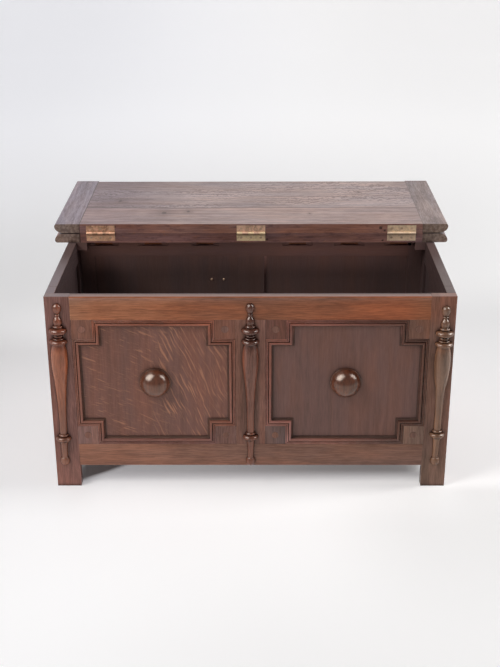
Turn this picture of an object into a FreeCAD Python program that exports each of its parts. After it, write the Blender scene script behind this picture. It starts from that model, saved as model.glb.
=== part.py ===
import FreeCAD, Part
import math
import os
import re

# Joined oak coffer chest with a two-leaf lid. Millimetres, +X to the right, +Y to the back, +Z up.
# The front leaf is folded back flat onto the fixed rear leaf, as the chest stands open.
# The origin is on the floor, under the middle of the box that bounds the chest in that pose.

sizes = {
    # Carcase, over its outer faces
    "chest_width": 980,
    "chest_depth": 480,
    "rim_height": 516,
    "foot_height": 60,
    "front_thickness": 22,
    "back_thickness": 22,
    "end_thickness": 22,
    # Frame members and their joints
    "stile_width": 60,
    "end_stile_width": 46,
    "top_rail_width": 60,
    "bottom_rail_width": 60,
    "muntin_width": 72,
    "tenon_length": 32,
    "tenon_shoulder": 14,
    "groove_depth": 8,
    "panel_thickness": 8,
    "panel_setback": 7,
    "panel_play": 1,
    # Work planted on the front panels
    "corner_block": 50,
    "block_setback": 0.8,
    "pellet_radius": 8.5,
    "pellet_proud": 0.4,
    "moulding_width": 20,
    "ridge_width": 7,
    "ridge_proud": 2.5,
    "cove_width": 4.5,
    "moulding_lip": 1.2,
    "boss_radius": 38.5,
    "boss_height": 36,
    "boss_rim": 3,
    "boss_rim_step": 1.8,
    "spigot_radius": 6,
    # Split turnings on the stiles and muntin. Tops are below the rim, the outer ones' feet are in from
    # the ends of the chest, and drops are measured down from the top of each turning
    "baluster_top": 17,
    "right_baluster_top": 24,
    "baluster_foot": 61,
    "left_baluster_offset": 23,
    "right_baluster_offset": 28,
    "left_lean_degrees": 0.9,
    "right_lean_degrees": 0.5,
    "finial_radius": 10.7,
    "neck_radius": 5.5,
    "neck_drop": 26,
    "bell_radius": 11,
    "bell_drop": 54,
    "collar_radius": 22,
    "collar_drop": 64,
    "collar_height": 12,
    "cove_radius": 15.5,
    "lower_collar_radius": 21,
    "lower_collar_drop": 95,
    "lower_collar_height": 10,
    "vase_radius": 20.3,
    "vase_drop": 148,
    "stem_radius": 9.5,
    "stem_length": 44,
    "foot_ring_radius": 19.3,
    "foot_ring_height": 10,
    "left_foot_ring": 140,
    "centre_foot_ring": 145,
    "right_foot_ring": 151,
    "ankle_radius": 7.8,
    "foot_ball_radius": 11.7,
    # Bottom of the chest
    "bottom_height": 98,
    "bottom_thickness": 12,
    "bottom_board_count": 3,
    "bearer_size": 20,
    # Lid leaves, with the hinge line measured in from the back face
    "lid_width": 1050,
    "leaf_thickness": 25.5,
    "cleat_width": 67,
    "cleat_thinning": 1.2,
    "cleat_overrun": 7,
    "front_leaf_depth": 418,
    "narrow_board_depth": 147,
    "rear_leaf_depth": 90,
    "hinge_line": 84.1,
    "half_seam": 0.6,
    "leaf_gap": 0.4,
    "nose_height": 6.5,
    "ovolo_width": 22,
    "tongue_length": 18,
    "tongue_thickness": 8,
    "tongue_stop": 26,
    # Fixing of the rear leaf. The outer pockets are placed from the stiles, the others from the middle
    "batten_width": 28,
    "batten_height": 22,
    "batten_screw_margin": 14,
    "pocket_width": 84,
    "pocket_depth": 11,
    "pocket_height": 20,
    "pocket_ledge": 10,
    "pocket_inner": 127,
    "pocket_middle": 269,
    "pocket_outer": 26,
    "screw_radius": 2,
    "screw_head_radius": 4,
    "screw_head_height": 2.5,
    "screw_slot_width": 0.9,
    "screw_slot_depth": 1,
    "screw_bite": 16,
    # Round-headed screws through the left back panel
    "back_screw_radius": 1.6,
    "back_screw_head": 3.6,
    "back_screw_dome": 2.2,
    "back_screw_height": 385,
    "back_screw_left": 109,
    "back_screw_right": 76,
    # Butt hinges, the outer ones placed from the ends of the boards
    "hinge_length": 76.2,
    "hinge_offset": 56,
    "plate_height": 21.5,
    "plate_thickness": 1.8,
    "knuckle_radius": 3.8,
    "knuckle_count": 5,
    "knuckle_play": 0.2,
    "knuckle_clearance": 0.4,
    "pin_radius": 1.5,
    "pin_clearance": 0.05,
    "hinge_screw_radius": 1.7,
    "hinge_screw_head": 3.3,
    "hinge_screw_length": 22,
    "hinge_screw_spacing": 26,
    "hinge_screw_drop": 12.5,
}

doc = FreeCAD.newDocument("coffer_chest")
sheet = doc.addObject("Spreadsheet::Sheet", "Sizes")
for row, (alias, number) in enumerate(sizes.items(), 1):
    sheet.set(f"A{row}", alias.replace("_", " "))
    sheet.set(f"B{row}", str(number))
    sheet.setAlias(f"B{row}", alias)
doc.recompute()

parts = []


def size(alias):
    """The number in the sheet's cell."""
    return float(sheet.get(alias))


def bind(thing, property_name, formula):
    """Tie a property to a formula of size names."""

    def cell(word):
        return f"Sizes.{word.group()}" if word.group() in sizes else word.group()

    thing.setExpression(property_name, re.sub(r"[a-z_]+", cell, formula))


def place(thing, x, y, z, rotation=None):
    """Put a piece at formulas of size names, turned by a fixed rotation."""
    thing.Placement = FreeCAD.Placement(FreeCAD.Vector(), rotation or FreeCAD.Rotation())
    for axis, formula in (("x", x), ("y", y), ("z", z)):
        bind(thing, f"Placement.Base.{axis}", formula)
    return thing


def node(label, thing):
    """Keep a finished piece under its own name."""
    thing.Label = label
    parts.append(thing)
    return thing


# Formulas shared by many pieces. A span is a pair of formulas, low end and high end.
half_width = "chest_width / 2"
front_reach = "max(collar_radius; boss_height - panel_setback)"
rear_reach = "chest_depth - hinge_line + half_seam + front_leaf_depth + cleat_overrun"
front_face = f"({front_reach} - ({rear_reach})) / 2"
back_face = f"{front_face} + chest_depth"
hinge_y = f"{front_face} + chest_depth - hinge_line"
hinge_z = "rim_height + leaf_thickness + leaf_gap"
board_end = "lid_width / 2 - cleat_width"
opening_inner = "muntin_width / 2"
opening_outer = f"{half_width} - stile_width"
opening_low = "foot_height + bottom_rail_width"
opening_high = "rim_height - top_rail_width"
AXIS_TURNS = {
    "x": FreeCAD.Rotation(FreeCAD.Vector(0, 1, 0), 90),
    "y": FreeCAD.Rotation(FreeCAD.Vector(1, 0, 0), -90),
    "-y": FreeCAD.Rotation(FreeCAD.Vector(1, 0, 0), 90),
    "z": FreeCAD.Rotation(),
}
inside_front = f"{front_face} + front_thickness"
inside_back = f"{back_face} - back_thickness"
inner_x = f"{half_width} - end_thickness"
hinge_places = {
    "left": f"hinge_offset - ({board_end})",
    "centre": "0",
    "right": f"{board_end} - hinge_offset",
}
pocket_offsets = ("pocket_inner", "pocket_middle", f"{opening_outer} - pocket_outer")


def mirrored(span):
    """The span on the other side of zero."""
    low, high = span
    return f"-({high})", f"-({low})"


def sided(side, span):
    """The span on the right side, or its mirror image on the left."""
    return span if side == "right" else mirrored(span)


def box(name, x, y, z):
    """A rectangular block over three spans."""
    block = doc.addObject("Part::Box", name)
    for length, (low, high) in (("Length", x), ("Width", y), ("Height", z)):
        bind(block, length, f"({high}) - ({low})")
    return place(block, x[0], y[0], z[0])


def cylinder(name, start, length, radius, direction):
    """A round bar from a starting point along a direction."""
    bar = doc.addObject("Part::Cylinder", name)
    bind(bar, "Radius", radius)
    bind(bar, "Height", length)
    return place(bar, *start, AXIS_TURNS[direction])


def fused(name, pieces):
    """Several solids made one."""
    whole = doc.addObject("Part::MultiFuse", name)
    whole.Shapes = pieces
    return whole


def cut(name, base, tools):
    """A solid with one or more tools taken out of it."""
    result = doc.addObject("Part::Cut", name)
    result.Base = base
    result.Tool = tools[0] if len(tools) == 1 else fused(f"{name}_tools", tools)
    return result


def group(label, pieces):
    """Like pieces kept together as separate solids."""
    together = doc.addObject("Part::Compound", label)
    together.Links = pieces
    return node(label, together)


def sketched_body(name, plane, edges):
    """A body with one sketch drawn on one of its own origin planes."""
    body = doc.addObject("PartDesign::Body", name)
    sketch = body.newObject("Sketcher::SketchObject", f"{name}_outline")
    support = next(item for item in body.Origin.OriginFeatures if item.Role == plane)
    sketch.AttachmentSupport = (support, [""])
    sketch.MapMode = "FlatFace"
    sketch.addGeometry(edges, False)
    return body, sketch


def padded(name, plane, edges, length):
    """A body padded from its outline towards +X or +Y."""
    body, sketch = sketched_body(name, plane, edges)
    pad = body.newObject("PartDesign::Pad", f"{name}_pad")
    pad.Profile = sketch
    pad.Reversed = plane == "XZ_Plane"
    bind(pad, "Length", length)
    return body


def turned(name, edges, degrees):
    """A body turned about its own Z axis; a half turning keeps the half towards +Y."""
    body, sketch = sketched_body(name, "YZ_Plane", edges)
    turning = body.newObject("PartDesign::Revolution", f"{name}_turning")
    turning.Profile = sketch
    turning.ReferenceAxis = (sketch, ["V_Axis"])
    turning.Midplane = True
    turning.Angle = degrees
    return body


class Outline:
    """A flat outline drawn from point to point, as lines, arcs and smooth curves."""

    def __init__(self, start):
        self.start = start
        self.end = start
        self.edges = []

    @staticmethod
    def vector(point):
        return FreeCAD.Vector(point[0], point[1], 0)

    def line(self, *points):
        for point in points:
            self.edges.append(Part.LineSegment(self.vector(self.end), self.vector(point)))
            self.end = point
        return self

    def arc(self, middle, end):
        self.edges.append(Part.Arc(*(self.vector(point) for point in (self.end, middle, end))))
        self.end = end
        return self

    def curve(self, *points):
        spline = Part.BSplineCurve()
        spline.interpolate([self.vector(point) for point in (self.end, *points)])
        self.edges.append(spline)
        self.end = points[-1]
        return self

    def bead(self, radius, half_height):
        """A round bead from the current end up to the same distance from the axis."""
        foot, base = self.end
        return self.arc((radius, base + half_height), (foot, base + 2 * half_height))

    def quarter(self, corner, end):
        """A quarter of an ellipse, drawn inside the corner where its end tangents meet."""
        ellipse = Part.BezierCurve()
        ellipse.setPoles([self.vector(point) for point in (self.end, corner, end)])
        ellipse.setWeight(2, math.sqrt(0.5))
        self.edges.append(ellipse.toBSpline())
        self.end = end
        return self

    def dome(self, height):
        """An arc up to the axis, on a circle whose centre is on the axis."""
        radius, base = self.end
        centre = base + (height**2 - radius**2) / (2 * height)
        sphere = base + height - centre
        halfway = (math.atan2(base - centre, radius) + math.pi / 2) / 2
        middle = (sphere * math.cos(halfway), centre + sphere * math.sin(halfway))
        return self.arc(middle, (0, base + height))

    def closed(self):
        return self.line(self.start).edges


# Countersunk and round-headed screws, drawn once with the head's outer face at zero and the point up +Z


def countersunk_screw(name, shank, head, head_height, length):
    bar = cylinder(f"{name}_shank", ("0", "0", "0"), length, shank, "z")
    cone = doc.addObject("Part::Cone", f"{name}_head")
    for property_name, formula in (("Radius1", head), ("Radius2", shank), ("Height", head_height)):
        bind(cone, property_name, formula)
    slot_x = ("-screw_slot_width / 2", "screw_slot_width / 2")
    slot_y = (f"-({head})", head)
    slot = box(f"{name}_slot", slot_x, slot_y, ("0", "screw_slot_depth"))
    return cut(name, fused(f"{name}_blank", [bar, cone]), [slot])


def countersink(name, start, direction, shank, head, head_height, length):
    """The hole that a countersunk screw fills."""
    cone = doc.addObject("Part::Cone", f"{name}_countersink")
    for property_name, formula in (("Radius1", head), ("Radius2", shank), ("Height", head_height)):
        bind(cone, property_name, formula)
    place(cone, *start, AXIS_TURNS[direction])
    return [cylinder(f"{name}_hole", start, length, shank, direction), cone]


def screws(label, pattern, places):
    """Copies of one screw, each at its place and pointing along its direction."""
    copies = []
    for number, (start, direction) in enumerate(places, 1):
        copy = doc.addObject("Part::Compound", f"{label}_{number}")
        copy.Links = [pattern]
        copies.append(place(copy, *start, AXIS_TURNS[direction]))
    return group(label, copies)


WOOD_SCREW = ("screw_radius", "screw_head_radius", "screw_head_height")
HINGE_SCREW = ("hinge_screw_radius", "hinge_screw_head", "plate_thickness")


def round_screw_outline():
    """Half section of a round-headed screw, its flat seat at zero and its shank below."""
    head = size("back_screw_head")
    shank = size("back_screw_radius")
    outline = Outline((0, -size("panel_thickness")))
    outline.line((shank, -size("panel_thickness")), (shank, 0), (head, 0))
    return outline.dome(size("back_screw_dome")).closed()


# Places of the screws, as the points where their heads start and the ways that they point


def hinge_screw_places(x, side):
    """Heads of the three screws in one plate; side is 1 for the rear leaf and -1 for the front."""
    face = f"{hinge_y} + half_seam * {side}"
    direction = "y" if side > 0 else "-y"
    return [
        ((f"{x} + hinge_screw_spacing * {step}", face, f"{hinge_z} - hinge_screw_drop"), direction)
        for step in (-1, 0, 1)
    ]


batten_x = (f"{inner_x} - batten_width", inner_x)
batten_y = (f"{hinge_y} + half_seam", inside_back)
batten_z = ("rim_height - batten_height", "rim_height")


def batten_screw_places(side):
    """Screws driven up through a batten into the rear leaf."""
    x = f"{sided(side, batten_x)[0]} + batten_width / 2"
    return [
        ((x, y, batten_z[0]), "z")
        for y in (f"{batten_y[0]} + batten_screw_margin", f"{batten_y[1]} - batten_screw_margin")
    ]


def pocket_screw_places():
    """Screws driven up from the ledges of the pockets into the rear leaf."""
    ledge = "rim_height - pocket_ledge"
    y = f"{inside_back} + pocket_depth / 2"
    return [
        ((sided(side, (offset, offset))[0], y, ledge), "z")
        for side in ("left", "right")
        for offset in pocket_offsets
    ]


def back_screw_places():
    """Where the two round-headed screws enter the left back panel from inside."""
    panel_inside = f"{back_face} - panel_setback - panel_thickness"
    return [
        ((f"-({offset})", panel_inside, "back_screw_height"), "y")
        for offset in ("back_screw_left", "back_screw_right")
    ]


# Framed walls. Each is drawn in its own terms: u along the wall, w in from its outer face, z up.


def front_wall(u, w):
    return u, tuple(f"{front_face} + {depth}" for depth in w)


def back_wall(u, w):
    return u, tuple(f"{back_face} - ({depth})" for depth in reversed(w))


def right_wall(u, w):
    return tuple(f"{half_width} - ({depth})" for depth in reversed(w)), front_wall(u, u)[1]


def left_wall(u, w):
    x, y = right_wall(u, w)
    return mirrored(x), y


groove_span = ("panel_setback", "panel_setback + panel_thickness")
top_tenon = (f"{opening_high} + groove_depth", "rim_height - tenon_shoulder")
bottom_tenon = ("foot_height + tenon_shoulder", f"{opening_low} - groove_depth")
muntin_tenon = (f"-({opening_inner}) + groove_depth", f"{opening_inner} - groove_depth")


def framed_wall(wall, names, u_low, u_high, stile, thickness, panels):
    """Two stiles that run down as feet, two rails tenoned between them, and loose panels in grooves."""

    def slab(name, u, w, z):
        return box(name, *wall(u, w), z)

    full = ("0", thickness)
    inner_low = f"{u_low} + {stile}"
    inner_high = f"{u_high} - {stile}"
    for name, u, groove_u, mortise_u in (
        (
            names["low_stile"],
            (u_low, inner_low),
            (f"{inner_low} - groove_depth", inner_low),
            (f"{inner_low} - tenon_length", inner_low),
        ),
        (
            names["high_stile"],
            (inner_high, u_high),
            (inner_high, f"{inner_high} + groove_depth"),
            (inner_high, f"{inner_high} + tenon_length"),
        ),
    ):
        groove_z = (f"{opening_low} - groove_depth", f"{opening_high} + groove_depth")
        tools = [slab(f"{name}_groove", groove_u, groove_span, groove_z)]
        tools.append(slab(f"{name}_top_mortise", mortise_u, groove_span, top_tenon))
        tools.append(slab(f"{name}_bottom_mortise", mortise_u, groove_span, bottom_tenon))
        if wall is back_wall:
            tools += screw_pockets()
        node(name, cut(f"{name}_cut", slab(f"{name}_blank", u, full, ("0", "rim_height")), tools))

    for name, z, tenon_z, groove_z, mortise_z in (
        (
            names["top_rail"],
            (opening_high, "rim_height"),
            top_tenon,
            (opening_high, f"{opening_high} + groove_depth"),
            (opening_high, f"{opening_high} + tenon_length"),
        ),
        (
            names["bottom_rail"],
            ("foot_height", opening_low),
            bottom_tenon,
            (f"{opening_low} - groove_depth", opening_low),
            (f"{opening_low} - tenon_length", opening_low),
        ),
    ):
        blank = slab(f"{name}_blank", (inner_low, inner_high), full, z)
        tools = [slab(f"{name}_groove", (inner_low, inner_high), groove_span, groove_z)]
        if len(panels) == 2:
            tools.append(slab(f"{name}_mortise", muntin_tenon, groove_span, mortise_z))
        if name == names["top_rail"] and wall is back_wall:
            tools += screw_pockets()
        tenon_u = (f"{inner_low} - tenon_length", f"{inner_high} + tenon_length")
        tenons = slab(f"{name}_tenons", tenon_u, groove_span, tenon_z)
        node(name, cut(f"{name}_cut", fused(f"{name}_whole", [blank, tenons]), tools))

    if len(panels) == 2:
        name = names["muntin"]
        muntin_u = (f"-({opening_inner})", opening_inner)
        blank = slab(f"{name}_blank", muntin_u, full, (opening_low, opening_high))
        grooves = [
            slab(f"{name}_groove_{side}", sided(side, (muntin_tenon[1], opening_inner)), groove_span,
                 (opening_low, opening_high))
            for side in ("left", "right")
        ]
        tenon_z = (f"{opening_low} - tenon_length", f"{opening_high} + tenon_length")
        tenons = slab(f"{name}_tenons", muntin_tenon, groove_span, tenon_z)
        node(name, cut(f"{name}_cut", fused(f"{name}_whole", [blank, tenons]), grooves))

    reach = "groove_depth - panel_play"
    panel_z = (f"{opening_low} - ({reach})", f"{opening_high} + {reach}")
    for name, (low, high), holes in panels:
        panel_u = (f"{low} - ({reach})", f"{high} + {reach}")
        panel = slab(f"{name}_board", panel_u, groove_span, panel_z)
        node(name, cut(f"{name}_cut", panel, holes) if holes else panel)


def screw_pockets():
    """Gouged seats along the inside of the back's top edge, each with a flat ledge for a screw head."""
    radius = "(pocket_width * pocket_width / 4 + pocket_depth * pocket_depth) / (2 * pocket_depth)"
    inner_face = f"{back_face} - back_thickness"
    low = "rim_height - pocket_ledge - pocket_height"
    tools = []
    for side in ("left", "right"):
        for offset in pocket_offsets:
            x = sided(side, (offset, offset))[0]
            start = (x, f"{inner_face} + pocket_depth - ({radius})", low)
            tools.append(cylinder("screw_pocket", start, "pocket_height", radius, "z"))
    for start, direction in pocket_screw_places():
        tools += countersink("pocket", start, direction, *WOOD_SCREW, "pocket_ledge")
    return tools


boss_x = f"({opening_inner} + {opening_outer}) / 2"
boss_z = f"({opening_low} + {opening_high}) / 2"


def front_panel_holes(side):
    """The hole in a front panel for the spigot of its boss."""
    x = sided(side, (boss_x, boss_x))[0]
    start = (x, f"{front_face} + panel_setback", boss_z)
    return [cylinder(f"boss_hole_{side}", start, "panel_thickness", "spigot_radius", "y")]


def walls():
    """The front, the back and the two ends, with the holes that their panels need."""
    front_names = {
        "low_stile": "front_stile_left",
        "high_stile": "front_stile_right",
        "top_rail": "front_top_rail",
        "bottom_rail": "front_bottom_rail",
        "muntin": "front_muntin",
    }
    back_names = {role: name.replace("front", "back") for role, name in front_names.items()}
    opening = (opening_inner, opening_outer)
    front_panels = [
        (f"front_panel_{side}", sided(side, opening), front_panel_holes(side)) for side in ("left", "right")
    ]
    back_screw_holes = [
        cylinder("back_screw_hole", start, "panel_thickness", "back_screw_radius", direction)
        for start, direction in back_screw_places()
    ]
    back_panels = [
        ("back_panel_left", sided("left", opening), back_screw_holes),
        ("back_panel_right", opening, []),
    ]
    width_span = (f"-({half_width})", half_width)
    framed_wall(front_wall, front_names, *width_span, "stile_width", "front_thickness", front_panels)
    framed_wall(back_wall, back_names, *width_span, "stile_width", "back_thickness", back_panels)

    for side, wall in (("left", left_wall), ("right", right_wall)):
        end_names = {
            "low_stile": f"end_stile_front_{side}",
            "high_stile": f"end_stile_back_{side}",
            "top_rail": f"end_top_rail_{side}",
            "bottom_rail": f"end_bottom_rail_{side}",
        }
        end_low = "front_thickness"
        end_high = "chest_depth - back_thickness"
        end_opening = (f"{end_low} + end_stile_width", f"{end_high} - end_stile_width")
        end_panels = [(f"end_panel_{side}", end_opening, [])]
        framed_wall(wall, end_names, end_low, end_high, "end_stile_width", "end_thickness", end_panels)


# Planted work: square blocks in the corners of each opening, a mitred moulding round the cross
# that they leave, and a turned boss in the middle


def corner_work(side):
    """Four corner blocks and the round pellets set in their middles."""
    block_face = f"{front_face} + block_setback"
    panel_face = f"{front_face} + panel_setback"
    blocks = []
    pellets = []
    for edge, x_low in (("inner", opening_inner), ("outer", f"{opening_outer} - corner_block")):
        for level, z_low in (("lower", opening_low), ("upper", f"{opening_high} - corner_block")):
            name = f"{level}_{edge}_{side}"
            x = sided(side, (x_low, f"{x_low} + corner_block"))
            z = (z_low, f"{z_low} + corner_block")
            blank = box(f"block_{name}", x, (block_face, panel_face), z)
            middle = f"{x[0]} + corner_block / 2"
            start = (middle, panel_face, f"{z_low} + corner_block / 2")
            depth = "panel_setback - block_setback"
            hole = cylinder(f"pellet_hole_{name}", start, depth, "pellet_radius", "-y")
            blocks.append(cut(f"corner_block_{name}", blank, [hole]))
            pellet_length = f"{depth} + pellet_proud"
            pellets.append(cylinder(f"pellet_{name}", start, pellet_length, "pellet_radius", "-y"))
    group(f"corner_blocks_{side}", blocks)
    return pellets


def cross_outline():
    """Corners of the cross in the right opening, anticlockwise, and the same corners moved inwards."""
    low_x = size("muntin_width") / 2
    high_x = size("chest_width") / 2 - size("stile_width")
    low_z = size("foot_height") + size("bottom_rail_width")
    high_z = size("rim_height") - size("top_rail_width")
    block = size("corner_block")
    quarter = [(low_x, low_z + block), (low_x + block, low_z + block), (low_x + block, low_z)]
    middle_x = low_x + high_x
    middle_z = low_z + high_z
    lower_right = [(middle_x - x, z) for x, z in reversed(quarter)]
    upper_right = [(middle_x - x, middle_z - z) for x, z in quarter]
    upper_left = [(x, middle_z - z) for x, z in reversed(quarter)]
    outer = [FreeCAD.Vector(x, 0, z) for x, z in quarter + lower_right + upper_right + upper_left]
    inner = []
    for number, corner in enumerate(outer):
        before = (corner - outer[number - 1]).normalize()
        after = (outer[(number + 1) % len(outer)] - corner).normalize()
        inward = FreeCAD.Vector(-before.z - after.z, 0, before.x + after.x)
        inner.append(corner + inward * size("moulding_width"))
    return outer, inner


def moulding_section(corner, inward):
    """The moulding's section: flat band, proud rounded ridge, and a cove down to a lip on the panel."""
    width = size("moulding_width")
    back = size("panel_setback")
    ridge_end = width - size("cove_width")
    ridge_start = ridge_end - size("ridge_width")
    lip = back - size("moulding_lip")

    def point(across, depth):
        return corner + inward * across + FreeCAD.Vector(0, depth, 0)

    ridge_top = point((ridge_start + ridge_end) / 2, -size("ridge_proud"))
    cove_middle = point(ridge_end + size("cove_width") * 0.3, lip * 0.7)
    edges = [
        Part.LineSegment(point(0, back), point(0, 0)),
        Part.LineSegment(point(0, 0), point(ridge_start, 0)),
        Part.Arc(point(ridge_start, 0), ridge_top, point(ridge_end, 0)),
        Part.Arc(point(ridge_end, 0), cove_middle, point(width, lip)),
        Part.LineSegment(point(width, lip), point(width, back)),
        Part.LineSegment(point(width, back), point(0, back)),
    ]
    return Part.Face(Part.Wire([edge.toShape() for edge in edges]))


def panel_moulding():
    """Twelve lengths round the right cross, each the swept section trimmed to its mitres."""
    outer, inner = cross_outline()
    width = size("moulding_width")
    depth = size("panel_setback") + size("ridge_proud") * 2
    lengths = []
    for number, start in enumerate(outer):
        following = (number + 1) % len(outer)
        end = outer[following]
        along = (end - start).normalize()
        inward = FreeCAD.Vector(-along.z, 0, along.x)
        sweep = moulding_section(start - along * width, inward)
        sweep = sweep.extrude(along * (start.distanceToPoint(end) + 2 * width))
        plan = Part.makePolygon([start, end, inner[following], inner[number], start])
        mitres = Part.Face(plan).extrude(FreeCAD.Vector(0, depth, 0))
        mitres.translate(FreeCAD.Vector(0, -size("ridge_proud") * 2, 0))
        lengths.append(sweep.common(mitres).Solids[0])
    return Part.Compound(lengths)


def boss_outline():
    """Half section of a boss: spigot, flat base, upright rim, small step and dome."""
    radius = size("boss_radius")
    rim = size("boss_rim")
    step = radius - size("boss_rim_step")
    spigot = size("spigot_radius")
    outline = Outline((0, -size("panel_thickness")))
    outline.line((spigot, -size("panel_thickness")), (spigot, 0), (radius, 0), (radius, rim * 0.6))
    outline.arc(((radius + step) / 2, rim * 0.95), (step, rim))
    return outline.dome(size("boss_height") - rim).closed()


def planted_work():
    """Corner blocks, pellets, mouldings and bosses of both front panels."""
    pellets = []
    moulding = panel_moulding()
    for side in ("left", "right"):
        pellets += corner_work(side)
        lengths = doc.addObject("Part::Feature", f"panel_moulding_{side}")
        to_left = FreeCAD.Vector(1, 0, 0)
        lengths.Shape = moulding if side == "right" else moulding.mirror(FreeCAD.Vector(), to_left)
        node(f"panel_moulding_{side}", place(lengths, "0", front_face, "0"))
        boss = turned(f"boss_{side}", boss_outline(), 360)
        x = sided(side, (boss_x, boss_x))[0]
        node(f"boss_{side}", place(boss, x, f"{front_face} + panel_setback", boss_z, AXIS_TURNS["-y"]))
    group("corner_pellets", pellets)


# Split balusters, glued flat to the stiles and the muntin


def baluster_outline(top_alias, ring_alias):
    """Half section of a baluster from its foot at zero: ball, ankle, ring, stem, vase, collars, finial."""
    foot = size("baluster_foot")
    top = size("rim_height") - size(top_alias) - foot
    ring = size(ring_alias) - foot
    ball = size("foot_ball_radius")
    ankle = size("ankle_radius")
    stem = size("stem_radius")
    vase = size("vase_radius")
    finial = size("finial_radius")
    neck = size("neck_radius")
    bell = size("bell_radius")
    half_ring = size("foot_ring_height") / 2
    half_collar = size("collar_height") / 2
    half_lower = size("lower_collar_height") / 2
    collar = top - size("collar_drop")
    lower_collar = top - size("lower_collar_drop")
    vase_z = top - size("vase_drop")
    bell_z = top - size("bell_drop")
    neck_z = top - size("neck_drop")
    ball_end = ball + (ball**2 - ankle**2) ** 0.5
    finial_start = top - finial - (finial**2 - neck**2) ** 0.5
    stem_low = ring + half_ring * 2.2
    stem_high = stem_low + size("stem_length")
    shoulder_z = lower_collar - half_lower * 2

    outline = Outline((0, 0))
    outline.arc((ball, ball), (ankle, ball_end))
    outline.curve((ankle, (ball_end * 2 + ring) / 3), (stem * 1.15, ring - half_ring * 2.2))
    ring_foot = size("foot_ring_radius") - half_ring
    outline.line((stem * 1.4, ring - half_ring * 1.6), (ring_foot, ring - half_ring))
    outline.bead(size("foot_ring_radius"), half_ring)
    outline.curve((stem * 1.1, stem_low), (stem, stem_high),
                  ((stem + vase) / 2, (stem_high + vase_z) / 2), (vase, vase_z), (vase * 0.91, shoulder_z))
    outline.line((size("lower_collar_radius") - half_lower, lower_collar - half_lower))
    outline.bead(size("lower_collar_radius"), half_lower)
    cove_end = (size("collar_radius") - half_collar, collar - half_collar)
    outline.arc((size("cove_radius"), (outline.end[1] + cove_end[1]) / 2), cove_end)
    outline.bead(size("collar_radius"), half_collar)
    outline.line((bell * 1.15, outline.end[1] + 1))
    outline.curve((bell, bell_z), (bell * 0.8, (bell_z * 2 + neck_z) / 3), (neck, neck_z))
    outline.line((neck, finial_start))
    outline.arc((finial, top - finial), (0, top))
    return outline.closed()


def balusters():
    """One on each stile and one on the muntin, the outer two leaning a little."""
    facing_front = FreeCAD.Rotation(FreeCAD.Vector(0, 0, 1), 180)
    left_x = f"left_baluster_offset - {half_width}"
    right_x = f"{half_width} - right_baluster_offset"
    for label, top_alias, ring_alias, foot_x, lean in (
        ("baluster_left", "baluster_top", "left_foot_ring", left_x, "left_lean_degrees"),
        ("baluster_centre", "baluster_top", "centre_foot_ring", "0", None),
        ("baluster_right", "right_baluster_top", "right_foot_ring", right_x, "right_lean_degrees"),
    ):
        baluster = turned(label, baluster_outline(top_alias, ring_alias), 180)
        leaning = FreeCAD.Rotation(FreeCAD.Vector(0, 1, 0), size(lean) if lean else 0)
        node(label, place(baluster, foot_x, front_face, "baluster_foot", leaning * facing_front))


def chest_bottom():
    """Boards on a ring of bearers inside the walls."""
    inside_x = (f"-({inner_x})", inner_x)
    bearer_z = ("bottom_height - bearer_size", "bottom_height")
    side_bearer_y = (f"{inside_front} + bearer_size", f"{inside_back} - bearer_size")
    bearers = [
        box("bearer_front", inside_x, (inside_front, side_bearer_y[0]), bearer_z),
        box("bearer_back", inside_x, (side_bearer_y[1], inside_back), bearer_z),
    ]
    for side in ("left", "right"):
        bearer_x = sided(side, (f"{inner_x} - bearer_size", inner_x))
        bearers.append(box(f"bearer_{side}", bearer_x, side_bearer_y, bearer_z))
    group("bottom_bearers", bearers)

    board_depth = f"(({inside_back}) - ({inside_front})) / bottom_board_count"
    board_z = ("bottom_height", "bottom_height + bottom_thickness")
    boards = []
    for number in range(int(size("bottom_board_count"))):
        near, far = (f"{inside_front} + {board_depth} * {line}" for line in (number, number + 1))
        boards.append(box(f"bottom_board_{number + 1}", inside_x, (near, far), board_z))
    group("bottom_boards", boards)


# Lid leaves. Both are drawn as they lie when the chest is shut; the front leaf is then folded back.


def leaf_section(inner, outer, thickness):
    """A slab's section from its plain inner edge to a rounded nose and ovolo at its outer edge."""
    side = 1 if outer > inner else -1
    nose = size("nose_height")
    outline = Outline((inner, 0))
    outline.line((outer - side * nose, 0))
    outline.quarter((outer, 0), (outer, nose))
    outline.quarter((outer, thickness), (outer - side * size("ovolo_width"), thickness))
    outline.line((inner, thickness))
    return outline.closed()


def folded(thing):
    """Turn a piece of the front leaf half a turn about the hinge line."""
    half_turn = FreeCAD.Rotation(FreeCAD.Vector(1, 0, 0), 180)
    return place(thing, "0", f"2 * ({hinge_y})", f"2 * ({hinge_z})", half_turn)


rear_y = (f"{hinge_y} + half_seam", f"{hinge_y} + half_seam + rear_leaf_depth")
front_y = (f"{hinge_y} - half_seam - front_leaf_depth", f"{hinge_y} - half_seam")
joint_y = f"{hinge_y} - half_seam - narrow_board_depth"
rear_z = ("rim_height", "rim_height + leaf_thickness")
front_z = (f"{rear_z[0]} + leaf_gap", f"{rear_z[1]} + leaf_gap")


def tongue_box(name, side, y, z):
    """The tongue on a board's end, or the groove for it in a cleat."""
    x = sided(side, (board_end, f"{board_end} + tongue_length"))
    middle = f"({z[0]} + {z[1]} - cleat_thinning) / 2"
    tongue_z = (f"{middle} - tongue_thickness / 2", f"{middle} + tongue_thickness / 2")
    return box(name, x, y, tongue_z)


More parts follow.
